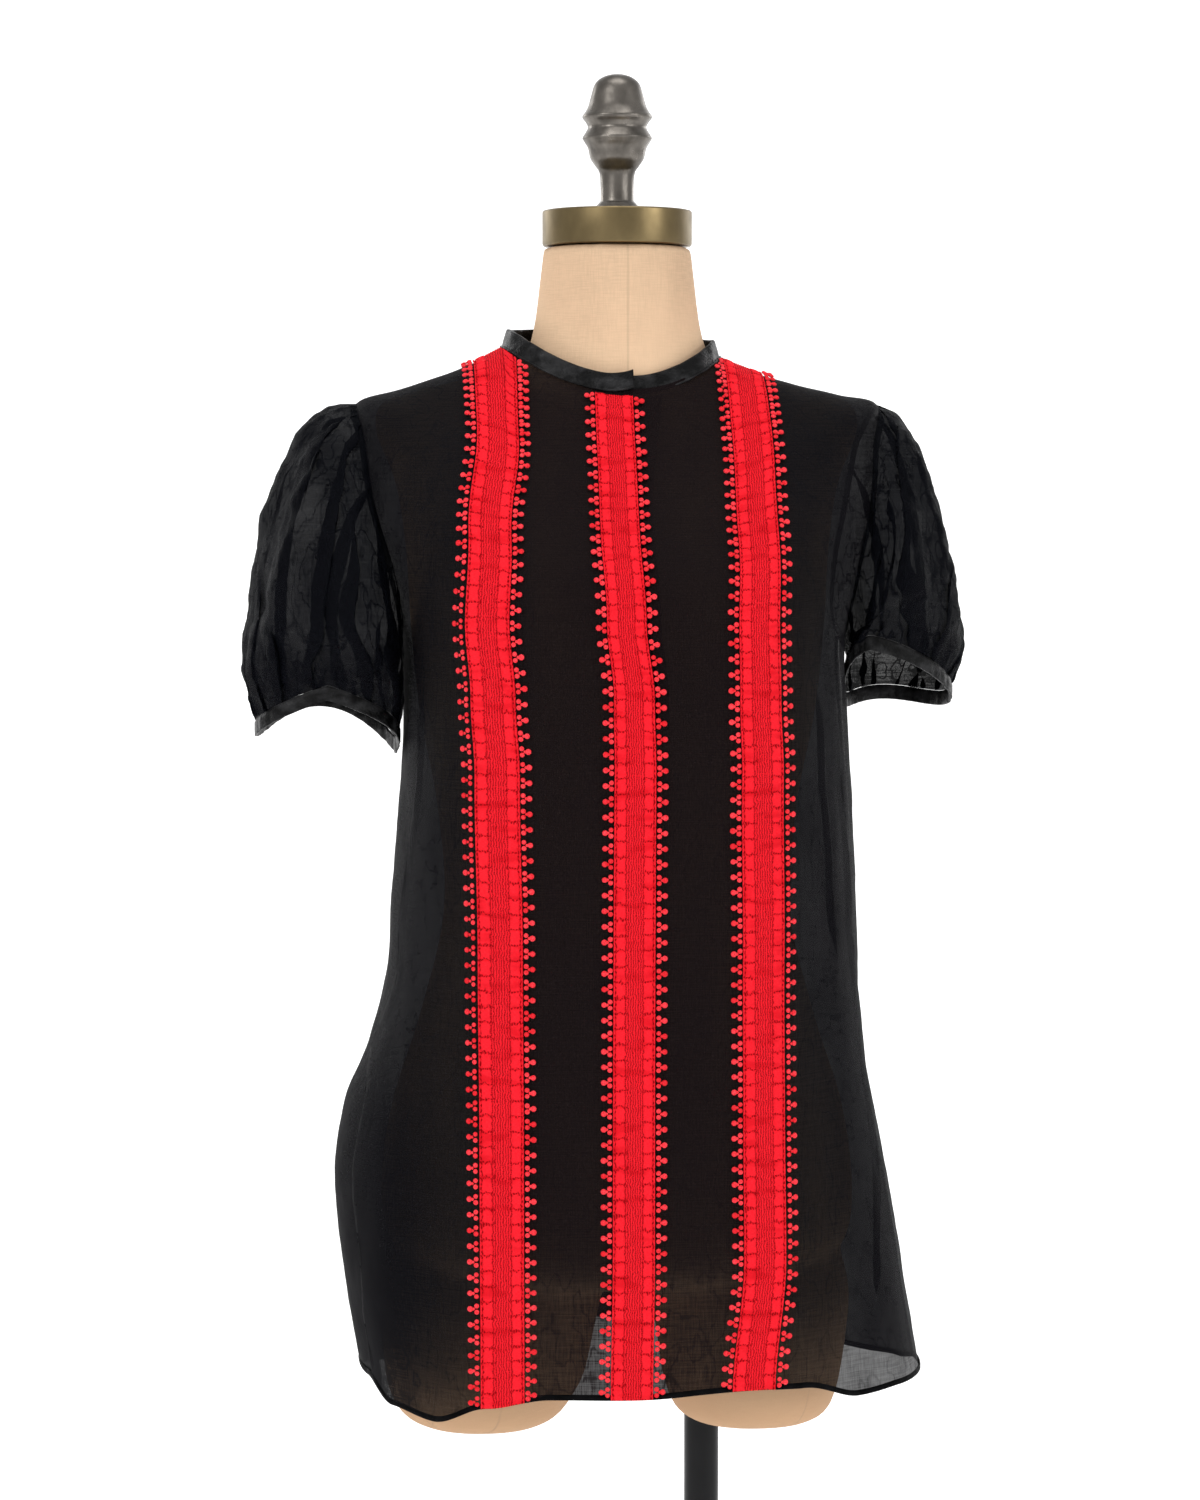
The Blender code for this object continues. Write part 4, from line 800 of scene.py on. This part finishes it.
def sleeveLoop(row, turn, side):
    outX, outZ, frontX, frontY, frontZ, inX, inZ, backX, backY, backZ, peak, full, apex = np.moveaxis(
        row, -1, 0)
    zero = np.zeros_like(outX)
    outside, inside = np.stack([outX, zero, outZ], -1), np.stack([inX, zero, inZ], -1)
    front, back = np.stack([frontX, frontY, frontZ], -1), np.stack([backX, backY, backZ], -1)
    c, s = np.cos(turn), np.sin(turn)
    point = (outside + inside) * (c * c / 2)[..., None] + (front + back) * (s * s / 2)[..., None]
    point = point + (outside - inside) * (c / 2)[..., None] + (front - back) * (s / 2)[..., None]
    point[..., 0] -= full * np.maximum(s, 0) ** 2 * (1 - c) / 2
    reach = np.abs(c - apex) / np.where(c > apex, 1 - apex, 1 + apex)
    point[..., 2] += np.where(s > 0, (outZ + inZ - frontZ - backZ) * (reach**peak - c * c) / 2, 0)
    return point * np.array([side, 1.0, 1.0])


def levelOutward(vectors):
    return unit(vectors * np.array([1.0, 1.0, 0.0]))


def sleevePleat(turn, middle, width):
    # How far a pleat shifts the turns around its middle, and how far it sinks
    wrapped = np.mod(turn - middle + math.pi, 2 * math.pi) - math.pi
    moved, inward = pleated(wrapped, 0.0, width, pleatCut["sleeveRadius"], 1.0)
    return moved - wrapped, inward


def sleeveSurface(table, side, share, turn):
    share, turn = np.broadcast_arrays(share, turn)
    cut, left, column = sleeveCut, 1 - share, share[:, :1]
    uneven = 1.4 * np.sin(2 * turn + side) + 0.9 * np.sin(5 * turn + 2 * side) + 0.5 * np.sin(9 * turn)
    headFade = (1 - np.exp(-share / cut["edgeFade"])) * np.exp(-share / cut["headFade"])
    cuffFade = (1 - np.exp(-left / cut["edgeFade"])) * np.exp(-left / cut["cuffFade"])
    headTurn = cut["headGathers"] * turn + uneven * 2
    cuffTurn = cut["cuffGathers"] * turn + uneven * 2.6
    headSize = np.clip(np.cos(turn) + 0.65, 0, 1) * (0.7 + 0.3 * np.sin(5 * turn + side))
    cuffSize = 0.7 + 0.3 * np.sin(7 * turn + side)
    shift = cut["headLean"] / cut["headGathers"] * np.sin(headTurn) * headFade * headSize
    shift = shift + cut["cuffLean"] / cut["cuffGathers"] * np.sin(cuffTurn) * cuffFade * cuffSize
    sunk = 0.0
    for path in leftPleats if side < 0 else rightPleats:
        middle, width = easedAt(path, share[:, 0]).T[..., None]
        width = width * ((column >= path[0][0]) & (column <= path[-1][0]))
        moved, inward = sleevePleat(turn, np.radians(middle), width)
        shift, sunk = shift + moved, sunk + inward
    for place, width, reach in cuffTucks:
        width = width * np.clip((column - 1) / reach + 1, 0, 1) ** 0.6
        leaning = math.radians(place + side * 9 * math.sin(place)) + 0.6 * left[:, :1] * math.sin(3 * place)
        moved, inward = sleevePleat(turn, leaning, width)
        shift, sunk = shift + moved, sunk + inward * 0.5
    turn = turn + shift
    row = tableAt(table, share * (len(table) - 1))
    first = np.broadcast_to(np.asarray(table[0], float), row.shape)
    point = sleeveLoop(row, turn, side)
    stray = armholePoint(turn, side) - sleeveLoop(first, turn, side)
    point = point + stray * ((1 - share) ** 3)[..., None]
    centre = sum(sleeveLoop(row, np.full_like(turn, way), side) for way in (0.0, math.pi)) / 2
    outward = levelOutward(point - centre)
    full = np.sin(math.pi * np.minimum(share * 1.15, 1)) ** 0.7
    beside = (1 - np.cos(turn)) / 2
    wave = np.cos(cut["folds"] * turn + 0.6 * np.sin(2 * turn) + side)
    swell = cut["foldSwell"] * full * (1 - 0.85 * beside) * wave + sunk
    swell = swell + cut["headGather"] * np.cos(headTurn) * headFade * headSize
    swell = swell + cut["cuffGather"] * np.cos(cuffTurn) * cuffFade * cuffSize * (1 - 0.5 * beside)
    return point + outward * swell[..., None]


def makeSleeve(name, node, side, table):
    cut = sleeveCut
    turns = turnsAround(cut["columns"])[None, :]
    shares = np.linspace(0, 1, cut["rows"])[:, None]
    shares = shares * 0.35 + (0.5 - 0.5 * np.cos(math.pi * shares)) * 0.65
    points = sleeveSurface(table, side, shares, turns)
    rough = ruffled(points, cut["ruffleSize"], cut["ruffle"], 5.0 + side)
    rough = ruffled(rough, cut["ruffleSize"] * 0.35, cut["ruffle"] * 0.35, 7.0 + side)
    share = np.clip(np.minimum(shares / 0.12, (1 - shares) / 0.08), 0, 1)[..., None]
    points = points + (rough - points) * share
    piece = linkMesh(name, points, gridFaces(*points.shape[:2], closed=True), puffVoile)
    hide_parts(node)
    return piece


leftPuff = makeSleeve("leftPuff", "sleeve_left", -1.0, leftSleeve)
rightPuff = makeSleeve("rightPuff", "sleeve_right", 1.0, rightSleeve)
print("sleeves made", round(sheetArea(leftPuff), 4), round(sheetArea(rightPuff), 4))

cuffCut = {"height": 0.0100, "thickness": 0.0018, "drop": 0.0002, "steps": 220}
neckCut = {"height": 0.0124, "thickness": 0.0019, "lean": 0.30, "gap": 0.0004, "steps": 300,
           "lapStart": -14.0, "lapEnd": 4.5, "lapRise": 0.0036, "lapOut": 0.0005, "lapTurn": 16.0,
           "underTo": 60.0, "underTurn": 30.0, "underIn": 0.0006, "pipingRadius": 0.00075,
           "pipingRise": 0.0008, "pipingOut": 0.0002}


def boundProfile(height, thickness):
    # A folded strip's section, across from its middle and up from its foot
    half, soft = thickness / 2, thickness * 0.45
    return ((-half, soft), (-half * 0.6, 0.0), (half * 0.6, 0.0), (half, soft),
            (half * 0.86, height * 0.18), (half * 0.9, height * 0.24), (half * 1.05, height * 0.45),
            (half, height - soft), (half * 0.5, height), (-half * 0.5, height), (-half, height - soft),
            (-half * 1.02, height * 0.5))


def stripMesh(name, path, outward, up, section, material, closed):
    points = []
    for across, rise in section:
        points.append(path + outward * across + up * rise)
    points = np.stack(points, 1)
    count, sides = points.shape[:2]
    if closed:
        points = np.concatenate([points, points[:1]], 0)
    faces = gridFaces(len(points), sides, closed=True)
    if not closed:
        faces.append(tuple(reversed(range(sides))))
        faces.append(tuple(range((count - 1) * sides, count * sides)))
    return linkMesh(name, points, faces, material)


def makeCuff(name, node, side, table):
    cut = cuffCut
    turns = turnsAround(cut["steps"])
    last = np.broadcast_to(np.asarray(table[-1], float), (cut["steps"], 13))
    path = sleeveLoop(last, turns, side)
    outward = levelOutward(path - path.mean(0))
    creases = 0.00025 * np.sin(23 * turns + 2 * np.sin(3 * turns)) + 0.0002 * np.sin(41 * turns)
    path = path - outward * (cut["thickness"] / 2 - creases[:, None])
    path[:, 2] -= cut["drop"] + cut["height"]
    section = boundProfile(cut["height"], cut["thickness"])
    piece = stripMesh(name, path, outward, upward, section, binding, True)
    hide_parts(node)
    return piece


leftBinding = makeCuff("leftBinding", "cuff_left", -1.0, leftSleeve)
rightBinding = makeCuff("rightBinding", "cuff_right", 1.0, rightSleeve)


def makeNeckBand():
    cut = neckCut
    start, end = math.radians(cut["lapStart"]), math.radians(cut["lapEnd"])
    travelled = np.linspace(0, 2 * math.pi + end - start, cut["steps"])
    angles = start + travelled
    path = blousePoint(angles, np.full_like(angles, neckline))
    outward = levelOutward(path)
    under = np.clip((math.radians(cut["underTo"]) - travelled) / math.radians(cut["underTurn"]), 0, 1)
    under = eased(under)[:, None]
    creases = 0.00022 * np.sin(29 * travelled + 2 * np.sin(3 * travelled))
    inward = cut["thickness"] / 2 + under * (cut["thickness"] + cut["underIn"]) - creases[:, None]
    path = path - outward * inward
    over = np.clip((travelled - travelled[-1]) / math.radians(cut["lapTurn"]) + 1, 0, 1)
    path[:, 2] += cut["gap"] + over**2 * cut["lapRise"] - under[:, 0] * cut["underIn"]
    path = path + outward * (over**2 * cut["lapOut"])[:, None]
    section = boundProfile(cut["height"], cut["thickness"])
    piece = stripMesh("neckBand", path, outward, upward - outward * cut["lean"], section, binding, False)
    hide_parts("neck_band")
    piping = path + outward * (cut["thickness"] / 2 + cut["pipingOut"])
    piping[:, 2] += cut["pipingRise"]
    welt = tubeMesh("neckPiping", piping, cut["pipingRadius"], 8, binding)
    return piece, welt


neckBand, neckPiping = makeNeckBand()
print("bindings made")

hemCut = {"steps": 700, "radius": 0.0011, "height": 0.0034}


def makeHem():
    cut = hemCut
    angles = turnsAround(cut["steps"])
    path = blouseOffset(angles, 0.0, panelCuts["clothMiddle"])
    outward = outwardAt(angles, 0.0)
    half, height = cut["radius"] * 0.7, cut["height"]
    section = ((-half, 0.0), (0.0, -0.0004), (half, 0.0), (half, height * 0.5), (half * 0.6, height),
               (-half * 0.6, height), (-half, height * 0.5))
    piece = stripMesh("rolledHem", path, outward, upward, section, hemRoll, True)
    return piece


rolledHem = makeHem()

seamCut = {"inside": -0.0016, "sideWidth": 0.00988, "sideRows": 150, "shoulderTurn": math.radians(5.5),
           "shoulderRows": 50, "end": 0.05, "armholeFrom": 0.004, "armholeTo": 0.045, "armholeSteps": 160,
           "armholeIn": 0.012}


def seamStrip(name, side, levels, widths):
    angles = side * (math.pi / 2 + np.linspace(0, 1, 4)[None, :] * widths[:, None])
    points = blouseOffset(angles, levels[:, None], seamCut["inside"])
    piece = linkMesh(name, points, gridFaces(*points.shape[:2]), voile)
    return piece


def makeSeams():
    # Turned-in allowances, seen through the cloth as narrow darker bands
    cut = seamCut
    pieces = []
    for label, side, table in (("left", -1.0, leftSleeve), ("right", 1.0, rightSleeve)):
        levels = np.linspace(cut["end"], underarm, cut["sideRows"])
        edge = ringPoint(blouseRings, side * math.pi / 2, levels)[:, 0]
        pieces.append(seamStrip(label + "SideSeam", side, levels, cut["sideWidth"] / np.abs(edge)))
        levels = np.linspace(shoulderTip, neckline - cut["end"], cut["shoulderRows"])
        widths = np.full(len(levels), cut["shoulderTurn"])
        pieces.append(seamStrip(label + "ShoulderSeam", side, levels, widths))
        turns = turnsAround(cut["armholeSteps"])[None, :]
        shares = np.linspace(cut["armholeFrom"], cut["armholeTo"], 5)[:, None]
        points = sleeveSurface(table, side, shares, turns)
        points = points + (points.mean((0, 1)) - points) * cut["armholeIn"]
        strip = linkMesh(label + "ArmholeSeam", points, gridFaces(*points.shape[:2], closed=True), voile)
        pieces.append(strip)
    return pieces


seams = makeSeams()
print("hem and seams made")


def acrossBand(column, offset, level):
    height = ringPoint(blouseRings, 0.0, level)[..., 2]
    return laceX(column, level) + offset * easedAt(laceShare, height)[..., column]


def laceLine(column, offset):
    # Lengths and levels along a line up the front, at a distance from a band's middle
    topX = lacePath[-1][column + 1] + offset * laceShare[-1][column + 1]
    low, high = shoulderTip, neckline
    if abs(angleAt(np.array(topX), np.array(neckline))) < math.pi / 2:
        low = neckline
    else:
        for _ in range(30):
            middle = (low + high) / 2
            inside = abs(angleAt(acrossBand(column, offset, middle), middle)) < math.pi / 2
            low, high = (middle, high) if inside else (low, middle)
    levels = low * (1 - (1 - np.linspace(0, 1, 501)) ** 2)
    points = blousePoint(angleAt(acrossBand(column, offset, levels), levels), levels, creased=False)
    steps = np.linalg.norm(np.diff(points, axis=0), axis=1)
    return np.concatenate([[0], np.cumsum(steps)]), levels


class BandMap:
    # Finds points on a band by how far across it they are and at which repeat
    def __init__(self, column):
        self.column = column
        self.middle = laceLine(column, 0.0)
        self.whole = self.middle[0][-1] - laceBand["endGap"]
        self.rows = int(self.whole / laceBand["pitch"])
        self.pitch = self.whole / self.rows
        self.slantStart = self.pitch * (self.rows - laceBand["slantRows"])
        self.slantLevel = np.interp(self.slantStart, *self.middle)
        self.lines = {}

    def pointsAt(self, offset, positions, lift):
        key = round(offset, 6)
        if key not in self.lines:
            self.lines[key] = laceLine(self.column, key)
        lengths, levels = self.lines[key]
        length = self.pitch * np.asarray(positions, float)
        ownStart = np.interp(self.slantLevel, levels, lengths)
        share = (length - self.slantStart) / (self.whole - self.slantStart)
        slanted = np.interp(ownStart + share * (lengths[-1] - laceBand["endGap"] - ownStart), lengths, levels)
        level = np.where(length <= self.slantStart, np.interp(length, *self.middle), slanted)
        angle = angleAt(acrossBand(self.column, key, level), level)
        return blouseOffset(angle, level, np.broadcast_to(lift, level.shape))


# Half of the band's section: distance from its middle in mm, and height in mm
laceSection = (
    (14.5, 0.15), (14.2, 0.75), (13.8, 0.95), (13.4, 0.75), (13.1, 0.15), (12.8, 0.15), (12.4, 0.80),
    (11.2, 1.00), (9.5, 1.08), (7.8, 1.00), (6.7, 0.80), (6.15, 0.20), (5.75, 0.20),
)
rowSection = ((0.0, 0.0), (0.35, 0.25), (0.75, 0.9), (1.6, 1.0), (3.2, 1.0), (5.05, 1.0),
              (6.9, 1.0), (8.5, 1.0), (9.35, 0.9), (9.75, 0.25))
ribPitch = 1.7


def ribHeight(across):
    return 0.50 + 0.20 * math.cos(2 * math.pi * across / ribPitch)


def knotMesh():
    bm = bmesh.new()
    bmesh.ops.create_uvsphere(bm, u_segments=9, v_segments=6, radius=1.0)
    points = np.array([tuple(v.co) for v in bm.verts])
    faces = [tuple(v.index for v in f.verts) for f in bm.faces]
    bm.free()
    return points, faces


bandRelief = {"rowLength": 10.1, "innerHalf": 5.1, "innerSteps": 24, "blocksFrom": 5.6, "blocksTo": 12.9,
              "floor": 0.15, "edgeDip": 0.18, "sink": 0.0006}
knotCut = {"leftShift": 0.56, "rightShift": 0.50, "lift": 0.0005, "uneven": 0.12, "flat": 0.62}


def makeBand(name, node, band):
    cut = bandRelief
    half, steps = cut["innerHalf"], cut["innerSteps"]
    inner = [-half + 2 * half * i / steps for i in range(steps + 1)]
    section = [(-a, h) for a, h in laceSection] + [(a, ribHeight(a)) for a in inner]
    section += [(a, h) for a, h in reversed(laceSection)]
    rows = [(row + place / cut["rowLength"], height) for row in range(band.rows)
            for place, height in rowSection]
    positions, keep = np.array(rows + [(float(band.rows), 1.0)]).T
    columns = []
    for across, height in section:
        isBlock = cut["blocksFrom"] < abs(across) < cut["blocksTo"]
        relief = cut["floor"] + (height - cut["floor"]) * keep if isBlock else np.full_like(keep, height)
        if abs(across) > cut["blocksTo"]:
            relief = relief - cut["edgeDip"] * (1 - keep)
        lift = laceBand["lift"] - cut["sink"] + relief / 1000
        columns.append(band.pointsAt(across / 1000, positions, lift))
    points = np.stack(columns, 1)
    piece = linkMesh(name, points, gridFaces(*points.shape[:2]), lace)
    uv = piece.data.uv_layers.new(name="bandMillimetres")
    acrossAll = np.tile(np.array([a for a, _ in section]), len(positions))
    alongAll = np.repeat(positions * cut["rowLength"], len(section))
    loops = np.empty(len(piece.data.loops), np.int64)
    piece.data.loops.foreach_get("vertex_index", loops)
    uv.data.foreach_set("uv", np.stack([acrossAll[loops], alongAll[loops]], 1).ravel())
    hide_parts(node)
    return piece


def makePicots(name, band):
    cut = knotCut
    shape, shapeFaces = knotMesh()
    centres, outs, radii = [], [], []
    for side, shift in ((-1, cut["leftShift"]), (1, cut["rightShift"])):
        for out, spreads, radius in picotKnots:
            for spread in spreads:
                rows = np.arange(band.rows) + shift + spread * laceBand["knotSpread"] / band.pitch
                offset, lift = side * (laceBand["halfWidth"] + out), laceBand["lift"] + cut["lift"]
                centres.append(band.pointsAt(offset, rows, lift))
                outs.append(band.pointsAt(offset, rows, lift + 0.001))
                radii.append(np.full(len(rows), radius))
    centres = np.concatenate(centres)
    outward = unit(np.concatenate(outs) - centres)
    side = unit(np.cross(outward, upward))
    up = np.cross(side, outward)
    seeds = np.sin(np.arange(len(centres)) * 12.9898) * 43758.5453
    size = np.concatenate(radii) * (1 + cut["uneven"] * (seeds - np.floor(seeds) - 0.5))
    local = shape[None, :, :] * size[:, None, None]
    points = (centres[:, None, :] + side[:, None, :] * local[..., 0:1] + up[:, None, :] * local[..., 1:2]
              + outward[:, None, :] * local[..., 2:3] * cut["flat"])
    faces = [tuple(v + index * len(shape) for v in face) for index in range(len(centres))
             for face in shapeFaces]
    knots = linkMesh(name, points, faces, laceKnots)
    return knots


for column, (name, node) in enumerate((("leftLace", "lace_left"), ("centreLace", "lace_centre"),
                                       ("rightLace", "lace_right"))):
    band = BandMap(column)
    makeBand(name, node, band)
    makePicots(name + "Picots", band)

formCut = {"rows": 220, "columns": 120, "voxel": 0.0045, "smoothing": 5, "thighDepth": 0.0780,
           "thighRows": 48, "thighColumns": 64, "thighBack": 0.003, "squareness": 0.9}
# Height, the left thigh's inner and outer x, the right one's, share of the full depth
thighRows = (
    (0.6690, -0.0600, -0.1240, 0.0570, 0.1250, 0.52),
    (0.6710, -0.0490, -0.1380, 0.0470, 0.1370, 0.72),
    (0.6780, -0.0380, -0.1490, 0.0390, 0.1460, 0.88),
    (0.6910, -0.0290, -0.1560, 0.0340, 0.1510, 0.97),
    (0.7050, -0.0220, -0.1590, 0.0310, 0.1540, 1.00),
    (0.7330, -0.0160, -0.1600, 0.0270, 0.1580, 1.00),
    (0.7630, -0.0100, -0.1580, 0.0190, 0.1590, 0.99),
    (0.8050, -0.0060, -0.1460, 0.0120, 0.1480, 0.84),
)


def makeForm():
    cut = formCut
    angles = turnsAround(cut["columns"])[None, :]
    levels = np.linspace(0, len(formRings) - 1, cut["rows"])[:, None]
    shells = [formPoint(angles, levels)]
    turns = turnsAround(cut["thighColumns"])
    for inner, outer in ((1, 2), (3, 4)):
        rings = []
        for row in tableAt(thighRows, np.linspace(0, len(thighRows) - 1, cut["thighRows"])):
            low, high = sorted((row[inner], row[outer]))
            x = (low + high) / 2 + (high - low) / 2 * signedPower(np.sin(turns), cut["squareness"])
            deep = cut["thighDepth"] * row[5]
            y = cut["thighBack"] - deep * signedPower(np.cos(turns), cut["squareness"])
            rings.append(np.stack([x, y, np.full_like(x, row[0])], -1))
        shells.append(np.array(rings))
    points, faces, start = [], [], 0
    for shell in shells:
        rows, columns = shell.shape[:2]
        points.append(shell.reshape(-1, 3))
        faces += gridFaces(rows, columns, closed=True, start=start)
        faces.append(tuple(reversed(range(start, start + columns))))
        start += rows * columns
        faces.append(tuple(range(start - columns, start)))
    piece = linkMesh("linenForm", np.concatenate(points), faces, linen)
    remesh = piece.modifiers.new("Remesh", "REMESH")
    remesh.mode = "VOXEL"
    remesh.voxel_size = cut["voxel"]
    remesh.use_smooth_shade = True
    smooth = piece.modifiers.new("Smooth", "SMOOTH")
    smooth.factor, smooth.iterations = 0.5, cut["smoothing"]
    bpy.context.view_layer.update()
    shaped = bpy.data.meshes.new_from_object(piece.evaluated_get(bpy.context.evaluated_depsgraph_get()))
    piece.modifiers.clear()
    piece.data = shaped
    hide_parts("dress_form")
    return piece


linenForm = makeForm()
print("form made", len(linenForm.data.polygons))

capCut = {"radius": 0.0505, "bottom": 1.4688, "height": 0.0240, "edge": 0.0012}
# Radius and height above the cap
finialProfile = (
    (0.0010, 0.0910), (0.0055, 0.0905), (0.0110, 0.0883), (0.0153, 0.0840), (0.0179, 0.0755),
    (0.0196, 0.0695), (0.0216, 0.0656), (0.0236, 0.0623), (0.0210, 0.0584), (0.0198, 0.0550),
    (0.0224, 0.0503), (0.0235, 0.0482), (0.0222, 0.0457), (0.0198, 0.0414), (0.0181, 0.0346),
    (0.0148, 0.0295), (0.0124, 0.0261), (0.0115, 0.0210), (0.0112, 0.0073), (0.0124, 0.0048),
    (0.0155, 0.0013), (0.0155, 0.0000),
)
standCut = {"poleRadius": 0.0119, "pole": (0.0605, 0.0200), "poleTop": 0.7300, "footRadius": 0.1750,
            "footThickness": 0.0080, "hubRadius": 0.0230, "hubHeight": 0.0300}


def makeHardPieces():
    cap, edge = capCut, capCut["edge"]
    r, h = cap["radius"], cap["height"]
    profile = ((0.012, h), (r - edge * 2, h), (r - edge * 0.6, h - edge * 0.3), (r, h - edge),
               (r, h - edge * 2), (r, edge * 1.5), (r - edge * 0.3, edge * 0.5), (r - edge, 0.0),
               (0.012, 0.0))
    neckCap = turnedMesh("neckCapBrass", profile, 96, (0, 0, cap["bottom"]), brass)
    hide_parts("neck_cap")
    smooth = tableAt(finialProfile, np.linspace(0, len(finialProfile) - 1, 110))
    finial = turnedMesh("turnedFinial", smooth, 72, (0, 0, cap["bottom"] + h + 0.0003), pewter)
    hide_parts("finial")
    stand = standCut
    place, thin = (*stand["pole"], 0), stand["poleRadius"]
    wide, t = stand["footRadius"], stand["footThickness"]
    pole = turnedMesh("standPole", ((thin, stand["poleTop"]), (thin, t)), 64, place, blackSteel)
    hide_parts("pole")
    profile = ((0.05, t), (wide - 0.004, t), (wide - 0.0015, t - 0.0006), (wide, t - 0.0025),
               (wide, 0.0012), (wide - 0.001, 0.0), (0.05, 0.0))
    foot = turnedMesh("standFoot", profile, 160, (0, 0, 0), blackSteel)
    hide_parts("foot")
    r, high = stand["hubRadius"], stand["hubHeight"]
    profile = ((thin + 0.0004, high), (r - 0.002, high), (r, high - 0.002), (r, t + 0.001), (r + 0.002, t))
    hub = turnedMesh("standHub", profile, 64, place, blackSteel)
    return neckCap, finial, pole, foot, hub


makeHardPieces()
print("stand and metal made")

view = {"distance": 2.75, "height": 1.301, "azimuth": 5.0, "aimRight": 17 / 4044, "tilt": 3.595,
        "focalPixels": 4050, "tallPixels": 1500, "sensor": 36.0, "clipEnd": 60}


def makeCamera():
    camera = bpy.data.cameras.new("studioCamera")
    camera.sensor_width = view["sensor"]
    camera.lens = view["focalPixels"] / view["tallPixels"] * view["sensor"]
    camera.clip_end = view["clipEnd"]
    piece = bpy.data.objects.new("studioCamera", camera)
    bpy.context.scene.collection.objects.link(piece)
    turn, tilt = math.radians(view["azimuth"]), math.radians(view["tilt"])
    piece.location = (-math.sin(turn) * view["distance"], -math.cos(turn) * view["distance"], view["height"])
    heading = turn - math.atan(view["aimRight"])
    level = math.cos(tilt)
    forward = Vector((math.sin(heading) * level, math.cos(heading) * level, -math.sin(tilt)))
    piece.rotation_euler = forward.to_track_quat("-Z", "Y").to_euler()
    bpy.context.scene.camera = piece


stageLook = {"colour": (0.93, 0.93, 0.93), "roughness": 0.9, "glow": 0.32, "farGlow": 0.62,
             "farFrom": 2.2, "width": 17.0, "front": -7.0, "wall": 9.0, "curve": 2.6, "curveSteps": 12,
             "height": 8.0, "below": 0.0004, "world": 0.55, "lampAim": (0, 0, 1.05)}
lamps = (  # name, place, size, watts
    ("keySoft", (-2.3, -2.6, 2.7), 1.9, 49.0),
    ("fillSoft", (2.6, -2.0, 1.9), 1.8, 24.0),
    ("topSoft", (0.0, -0.4, 3.3), 1.8, 14.0),
    ("backLeft", (-2.0, 2.2, 2.0), 1.4, 10.0),
    ("backRight", (2.2, 2.0, 2.0), 1.4, 10.0),
)


def makeStage():
    look = stageLook
    materials = []
    for name, glow in (("paleFloor", look["glow"]), ("paleWall", look["farGlow"])):
        tree = NodeTree(name, look)
        tree.shader["Emission Color"].default_value = (1, 1, 1, 1)
        tree.shader["Emission Strength"].default_value = glow
        materials.append(tree.material)
    curve, steps = look["curve"], look["curveSteps"]
    start = look["wall"] - curve
    path = [(look["front"], 0.0), (look["farFrom"], 0.0), (start, 0.0)]
    for i in range(1, steps + 1):
        turn = math.pi / 2 * i / steps
        path.append((start + curve * math.sin(turn), curve * (1 - math.cos(turn))))
    path.append((look["wall"], look["height"]))
    half = look["width"] / 2
    points = [(x, y, z - look["below"]) for y, z in path for x in (-half, half)]
    piece = newPiece("paleStage", points, gridFaces(len(path), 2), *materials)
    piece.data.polygons.foreach_set("material_index", [0] + [1] * (len(piece.data.polygons) - 1))
    for name, place, size, watts in lamps:
        light = bpy.data.lights.new(name, "AREA")
        light.shape, light.size, light.energy = "DISK", size, watts
        lamp = bpy.data.objects.new(name, light)
        lamp.location = place
        aim = Vector(look["lampAim"]) - Vector(place)
        lamp.rotation_euler = aim.to_track_quat("-Z", "Y").to_euler()
        bpy.context.scene.collection.objects.link(lamp)
    world = bpy.data.worlds.new("softWorld")
    world.use_nodes = True
    world.node_tree.nodes["Background"].inputs["Color"].default_value = (1, 1, 1, 1)
    world.node_tree.nodes["Background"].inputs["Strength"].default_value = look["world"]
    bpy.context.scene.world = world
    bpy.context.scene.view_settings.view_transform = "Standard"


makeCamera()
makeStage()

print("scene ready")
